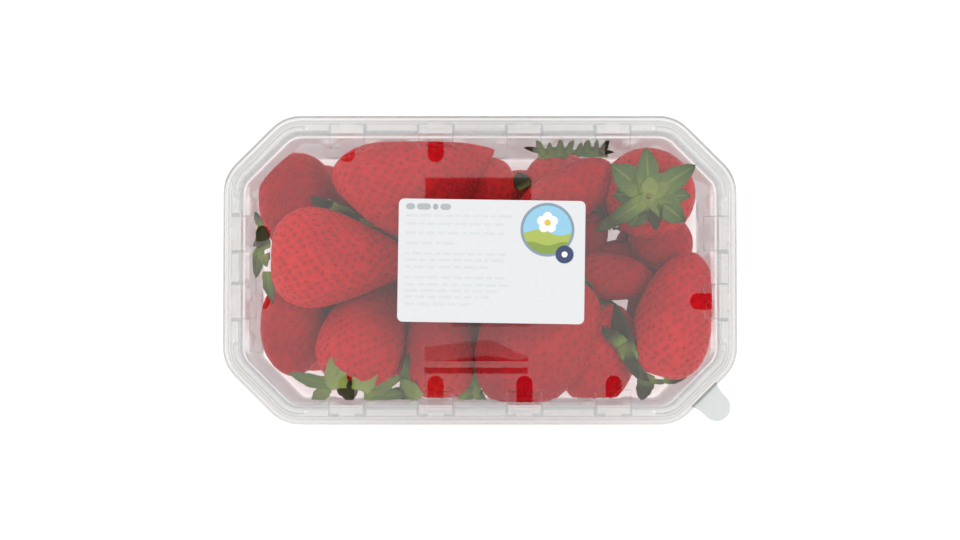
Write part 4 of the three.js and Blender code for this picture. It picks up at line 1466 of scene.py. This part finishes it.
# %% Make the leaves
parts = []
draw = np.random.default_rng(7)
for facing, leaves in PLACED_LEAVES.values():
    for root, tip, width, tone_share in leaves:
        parts.append(leaf(root, tip, width, facing, draw, tone=tone_share))
for name, ring in RINGED.items():
    parts += cap_ring(BERRIES_UPPER[name], *ring, draw)
for berry in BERRIES_BELOW.values():
    parts += cap_ring(berry, *RING_BELOW, draw)
points, faces, leaf_facts = join_parts(parts)
leaves = make_mesh("cap_leaves", points, faces, [cap_leaf])
add_facts(leaves, leaf_facts)
give_thickness(leaves, LEAF_THICKNESS)
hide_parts("berries")
print("leaves:", len(parts), "faces:", len(leaves.data.polygons))

# %% [markdown]
# ### Stalk stubs
# Strawberries are picked with a few millimetres of stalk left on. A stub is a thin tube along a short bent
# path, thicker where it joins the cap and brownish at its cut end. From some caps it has come away whole.

# %% Stalk maker
STALK_SIDES = 10
STALK_RADII = [1.5, 1.1, 0.9, 0.85, 0.8]  # from the cap to the cut end
STALK_LENGTHS = (2.0, 3.4)
STALK_SINK = 1.2  # how deep a stub starts in the berry
STALK_LEANS = {"right_back": (-0.15, -0.75, 0.0)}  # the one that is seen end on
TORN_OFF = ("back", "right_big", "front_left")  # berries whose stalk came away with the picking


def tube(path, radii):
    """A closed tube of rings along a path."""
    path = np.array(path, float)
    side, up = square_to(unit(np.gradient(path, axis=0)))
    turn = np.arange(STALK_SIDES) * 2 * math.pi / STALK_SIDES
    rings = [
        centre + radius * (np.cos(turn)[:, None] * a + np.sin(turn)[:, None] * b)
        for centre, radius, a, b in zip(path, radii, side, up)
    ]
    points, faces = loft(rings)
    faces.append(list(range(STALK_SIDES))[::-1])
    return points, faces, {"along": np.repeat(np.linspace(0, 1, len(path)), STALK_SIDES)}


print("a stub tapers from", STALK_RADII[0], "to", STALK_RADII[-1], "mm in radius")

# %% Stalk stubs
stalk, tree = new_material("cut_strawberry_stalk")
along = add_node(tree, "ShaderNodeAttribute", attribute_name="along").outputs["Fac"]
green = add_node(tree, "ShaderNodeValToRGB", {"Fac": along})
green.color_ramp.elements[0].color = linear("#8fa24c")
green.color_ramp.elements[1].color = linear("#86703c")
surface = add_node(tree, "ShaderNodeBsdfPrincipled", {"Base Color": green.outputs[0], "Roughness": 0.55})
show(tree, surface.outputs[0])

parts = []
draw = np.random.default_rng(11)
for name, berry in {**BERRIES_UPPER, **BERRIES_BELOW}.items():
    if name in TORN_OFF:
        continue
    down_berry, side, up = berry_axes(berry)
    lean = (side * draw.uniform(-1, 1) + up * draw.uniform(-1, 1)) * 0.5
    lean = np.array(STALK_LEANS.get(name, lean))
    reach = draw.uniform(*STALK_LENGTHS)
    start = np.array(berry[0], float) + down_berry * STALK_SINK
    steps = np.linspace(0, 1, len(STALK_RADII))[:, None]
    path = start - down_berry * (reach + STALK_SINK) * steps + lean * reach * steps**2
    points, faces, facts = tube(path, STALK_RADII)
    parts.append((keep_inside(points), faces, facts))
points, faces, stalk_facts = join_parts(parts)
stalks = make_mesh("stalk_stubs", points, faces, [stalk])
add_facts(stalks, stalk_facts)
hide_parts("berries")
print("stalk stubs:", len(parts))

# %% [markdown]
# ## Paper label
# The label is a smooth white paper sticker, so its own solid is kept and gets a paper finish with faint
# fibres. An image of print would blur close up, so what is printed lies on top as thin slabs of ink colour:
# soft grey bars for text, and a round badge with sky, hills and a blossom.

# %% Label paper
label_paper, tree = new_material("coated_label_paper")
place = add_node(tree, "ShaderNodeTexCoord").outputs["Object"]
fibres = add_node(
    tree, "ShaderNodeTexNoise", {"Vector": place, "Scale": grain(1.43), "Detail": 4.0}
).outputs["Fac"]
white = add_node(
    tree, "ShaderNodeMix", {0: fibres, 6: linear("#dadbdd"), 7: linear("#e2e3e5")}, data_type="RGBA"
).outputs[2]
bump = add_node(tree, "ShaderNodeBump", {"Height": fibres, "Strength": 0.08, "Distance": 0.0002})
surface = add_node(
    tree,
    "ShaderNodeBsdfPrincipled",
    {"Base Color": white, "Roughness": 0.5, "Specular IOR Level": 0.3, "Normal": bump.outputs[0]},
)
show(tree, surface.outputs[0])
label_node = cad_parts["label"]
for slot in label_node.material_slots:
    slot.material = label_paper
if not label_node.material_slots:
    label_node.data.materials.append(label_paper)
LABEL_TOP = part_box("label")[1][2] / MM
print("label top at", round(LABEL_TOP, 2))


# %% Inks
def ink(name, code):
    """Matt printing ink with the slight unevenness of a print."""
    material, tree = new_material(name)
    place = add_node(tree, "ShaderNodeTexCoord").outputs["Object"]
    speckle = add_node(tree, "ShaderNodeTexNoise", {"Vector": place, "Scale": grain(0.833)}).outputs["Fac"]
    lighter = [min(255, int(code[i : i + 2], 16) + 10) for i in (1, 3, 5)]
    colour = add_node(
        tree,
        "ShaderNodeMix",
        {0: speckle, 6: linear(code), 7: linear("#%02x%02x%02x" % tuple(lighter))},
        data_type="RGBA",
    )
    surface = add_node(tree, "ShaderNodeBsdfPrincipled", {"Base Color": colour.outputs[2], "Roughness": 0.5})
    show(tree, surface.outputs[0])
    return material


INKS = {
    "title_grey": "#a9aeb1",
    "text_grey": "#cfd3d4",
    "ring_blue": "#7f93a3",
    "sky_blue": "#8fc3dd",
    "hill_green": "#a5b452",
    "hill_dark": "#7f9740",
    "blossom_white": "#f6f6f2",
    "blossom_eye": "#d9b64a",
    "disc_blue": "#2f3f63",
}
ink_names = list(INKS)
inks = [ink("printing_ink_" + name, code) for name, code in INKS.items()]
print(len(inks), "inks")

# %% Shapes of print
LABEL_CENTRE, LABEL_TURN = np.array([4.2, 2.7]), math.radians(-0.85)
label_across = np.array([math.cos(LABEL_TURN), math.sin(LABEL_TURN)])
label_up = np.array([-math.sin(LABEL_TURN), math.cos(LABEL_TURN)])
INK_FOOT, INK_TOP, LAYER_STEP = -0.01, 0.03, 0.02  # heights over the paper; a later layer lies higher
prints = {"points": [], "faces": [], "choice": []}


def slab(edge, ink_name, layer=0):
    """A thin slab of ink with the given edge, anticlockwise, in millimetres from the label's centre."""
    u, v = np.array(edge).T
    edge = LABEL_CENTRE + np.outer(u, label_across) + np.outer(v, label_up)
    count, first = len(edge), sum(len(p) for p in prints["points"])
    foot, top = LABEL_TOP + INK_FOOT, LABEL_TOP + INK_TOP + LAYER_STEP * layer
    prints["points"] += [np.column_stack([edge, np.full(count, z)]) for z in (foot, top)]
    ring = [first + k for k in range(count)]
    above = [first + count + k for k in range(count)]
    sides = [[ring[k], ring[(k + 1) % count], above[(k + 1) % count], above[k]] for k in range(count)]
    faces = [ring[::-1], above] + sides
    prints["faces"] += faces
    prints["choice"] += [ink_names.index(ink_name)] * len(faces)


def bar(left, middle, length, height, ink_name):
    """A bar with slightly rounded ends."""
    r = height / 2
    turn = np.linspace(-math.pi / 2, math.pi / 2, 5)
    right_end = [(left + length - r + r * math.cos(a), middle + r * math.sin(a)) for a in turn]
    left_end = [(left + r - r * math.cos(a), middle - r * math.sin(a)) for a in turn]
    slab(right_end + left_end, ink_name)


def disc(u, v, radius, ink_name, layer=0, count=48):
    """A round field with count corners."""
    turn = np.arange(count) * 2 * math.pi / count
    slab(np.column_stack([u + radius * np.cos(turn), v + radius * np.sin(turn)]), ink_name, layer)


print("a layer of ink is", LAYER_STEP, "mm")

# %% Rows of text
TITLE_V, TITLE_HEIGHT = 19.8, 2.3
TITLE_BARS = ((-31.7, 3.4), (-27.7, 5.2), (-21.9, 2.2), (-19.1, 4.0))  # left end and length
TEXT_LEFT, TEXT_RIGHT = -31.7, 3.3
TEXT_HEIGHT, TEXT_GAP = 1.0, 0.9
WORD_LENGTHS = (1.6, 5.0)
TEXT_ROWS = (  # height on the label, and share of the full length
    (16.5, 1), (13.5, 1), (10.1, 1), (6.3, 0.5), (2.5, 1), (0.2, 1),
    (-2.4, 0.9), (-6.2, 1), (-8.9, 1), (-11.1, 1), (-13.4, 0.9), (-16.1, 0.6),
)

draw = np.random.default_rng(5)
for left, length in TITLE_BARS:
    bar(left, TITLE_V, length, TITLE_HEIGHT, "title_grey")
for v, share in TEXT_ROWS:
    u = TEXT_LEFT
    while u < TEXT_LEFT + (TEXT_RIGHT - TEXT_LEFT) * share:
        length = draw.uniform(*WORD_LENGTHS)
        bar(u, v, length, TEXT_HEIGHT, "text_grey")
        u += length + TEXT_GAP
print(len(TEXT_ROWS), "rows of text under the title")

# %% Badge
BADGE_U, BADGE_V, BADGE_RADIUS, RING_WIDTH = 20.4, 11.9, 9.9, 1.0
FIELD_RADIUS = BADGE_RADIUS - RING_WIDTH
PETALS, PETAL_REACH, PETAL_RADIUS, EYE_RADIUS = 5, 2.2, 1.75, 1.2
BLOSSOM_V = BADGE_V + 2.6
DISC_U, DISC_V, DISC_RADIUS, HOLE_RADIUS = BADGE_U + 6.4, BADGE_V - 9.0, 3.3, 1.1
disc(BADGE_U, BADGE_V, BADGE_RADIUS, "ring_blue")
disc(BADGE_U, BADGE_V, FIELD_RADIUS, "sky_blue", 1, 64)


def badge_hill(ink_name, layer, level, swell, phase):
    """The part of the badge below a wavy line."""
    dip = math.asin(level / FIELD_RADIUS)
    turn = np.linspace(math.pi - dip, 2 * math.pi + dip, 30)
    rim = np.column_stack([np.cos(turn), np.sin(turn)]) * FIELD_RADIUS
    across = np.linspace(rim[-1, 0], rim[0, 0], 16)[1:-1]
    share = (across - rim[0, 0]) / (rim[-1, 0] - rim[0, 0])
    wave = np.sin(math.pi * share) * np.sin(math.pi * (share * 1.6 + phase))
    line = np.column_stack([across, level + swell * wave])
    slab(np.concatenate([rim, line]) + (BADGE_U, BADGE_V), ink_name, layer)


badge_hill("hill_green", 2, -1.2, 1.6, 0.1)
badge_hill("hill_dark", 3, -4.6, 1.2, 0.7)
for k in range(PETALS):
    turn = math.pi / 2 + k * 2 * math.pi / PETALS
    u, v = BADGE_U + PETAL_REACH * math.cos(turn), BLOSSOM_V + PETAL_REACH * math.sin(turn)
    disc(u, v, PETAL_RADIUS, "blossom_white", 3 + k * 0.1, 20)
disc(BADGE_U, BLOSSOM_V, EYE_RADIUS, "blossom_eye", 4, 20)
disc(DISC_U, DISC_V, DISC_RADIUS, "disc_blue", 5, 32)
disc(DISC_U, DISC_V, HOLE_RADIUS, "blossom_white", 6, 16)
print("badge of", 2 * BADGE_RADIUS, "mm")

# %% Print on the label
label_print = make_mesh(
    "label_print",
    np.concatenate(prints["points"]),
    prints["faces"],
    inks,
    smooth=False,
    choice=prints["choice"],
)
print("print:", len(prints["choice"]), "faces")

# %% [markdown]
# ## Opening tab
# One corner of the lid runs out into a small flat tongue for the thumb. Its film is left rough by the
# mould, so it scatters light and looks milky grey: the material mixes a plain rough plastic with a clear
# one. The tongue is one slab with a rounded end and slightly eased edges, at the height of the lid's valley.

# %% Frosted film
TAB_MILK = 0.6  # share of the rough plastic

frosted_pet, tree = new_material("frosted_PET")
place = add_node(tree, "ShaderNodeTexCoord").outputs["Object"]
rough = add_node(
    tree, "ShaderNodeTexNoise", {"Vector": place, "Scale": grain(2.0), "Detail": 3.0}
).outputs["Fac"]
milky = add_node(
    tree, "ShaderNodeMix", {0: rough, 6: linear("#d0d2d1"), 7: linear("#dddfdf")}, data_type="RGBA"
).outputs[2]
body = add_node(
    tree, "ShaderNodeBsdfPrincipled", {"Base Color": milky, "Roughness": 0.45, "Specular IOR Level": 0.4}
)
clear = add_node(tree, "ShaderNodeBsdfTransparent", {"Color": linear("#f4f6f6")})
mix = add_node(tree, "ShaderNodeMixShader", {0: TAB_MILK, 1: clear.outputs[0], 2: body.outputs[0]})
show(tree, mix.outputs[0])
print("made", frosted_pet.name)

# %% Opening tab
TAB_PLACE, TAB_Z, TAB_THICKNESS = (87.3, -50.7), 66.3, 0.6
TAB_ROOT, TAB_RADIUS, TAB_START, TAB_REACH = 13.0, 5.2, 1.2, 8.0
TAB_PULL = 0.45  # how soon its flanks turn straight, as a share of its reach
TAB_TURN = math.radians(-135)
EASE = 0.12


def tab_edge(shrink):
    """The tab's edge, moved in by shrink, anticlockwise."""
    radius = TAB_RADIUS - shrink
    turn = np.linspace(0, math.pi, 25)
    arc = np.column_stack([radius * np.cos(turn), TAB_REACH + radius * np.sin(turn)])
    start = np.array([TAB_ROOT / 2 - shrink, TAB_START])
    pull = np.array([radius, TAB_REACH * TAB_PULL])
    neck = curve(start, pull, arc[0], np.linspace(0, 1, 9)[1:-1, None])
    right = np.concatenate([[start], neck])
    return np.concatenate([right, arc, (right * (-1, 1))[::-1]])


cosine, sine = math.cos(TAB_TURN), math.sin(TAB_TURN)
spin = np.array([[cosine, sine], [-sine, cosine]])
rings = []
for shrink, z in ((EASE, 0), (0, EASE), (0, TAB_THICKNESS - EASE), (EASE, TAB_THICKNESS)):
    flat = (tab_edge(shrink) - (0, TAB_REACH)) @ spin + TAB_PLACE
    rings.append(np.column_stack([flat, np.full(len(flat), TAB_Z + z)]))
points, faces = loft(rings)
faces.append(list(range(len(rings[0])))[::-1])
tab = make_mesh("lid_tab", points, faces, [frosted_pet])
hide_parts("lid")
print("the tab reaches to", [float(round(v, 1)) for v in (points[:, 0].max(), points[:, 1].min())])

# %% Pieces ride on the pack
SHARP_ANGLE = math.radians(38)  # edges steeper than this stay sharp in the smooth shading

for piece in (tray, lid, tab):
    piece.data.set_sharp_from_angle(angle=SHARP_ANGLE)
for piece in (tray, lid, tab, label_print, *berry_pieces, seeds, leaves, stalks):
    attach(piece, "root")
print(len(berry_pieces) + 7, "pieces ride on the pack")
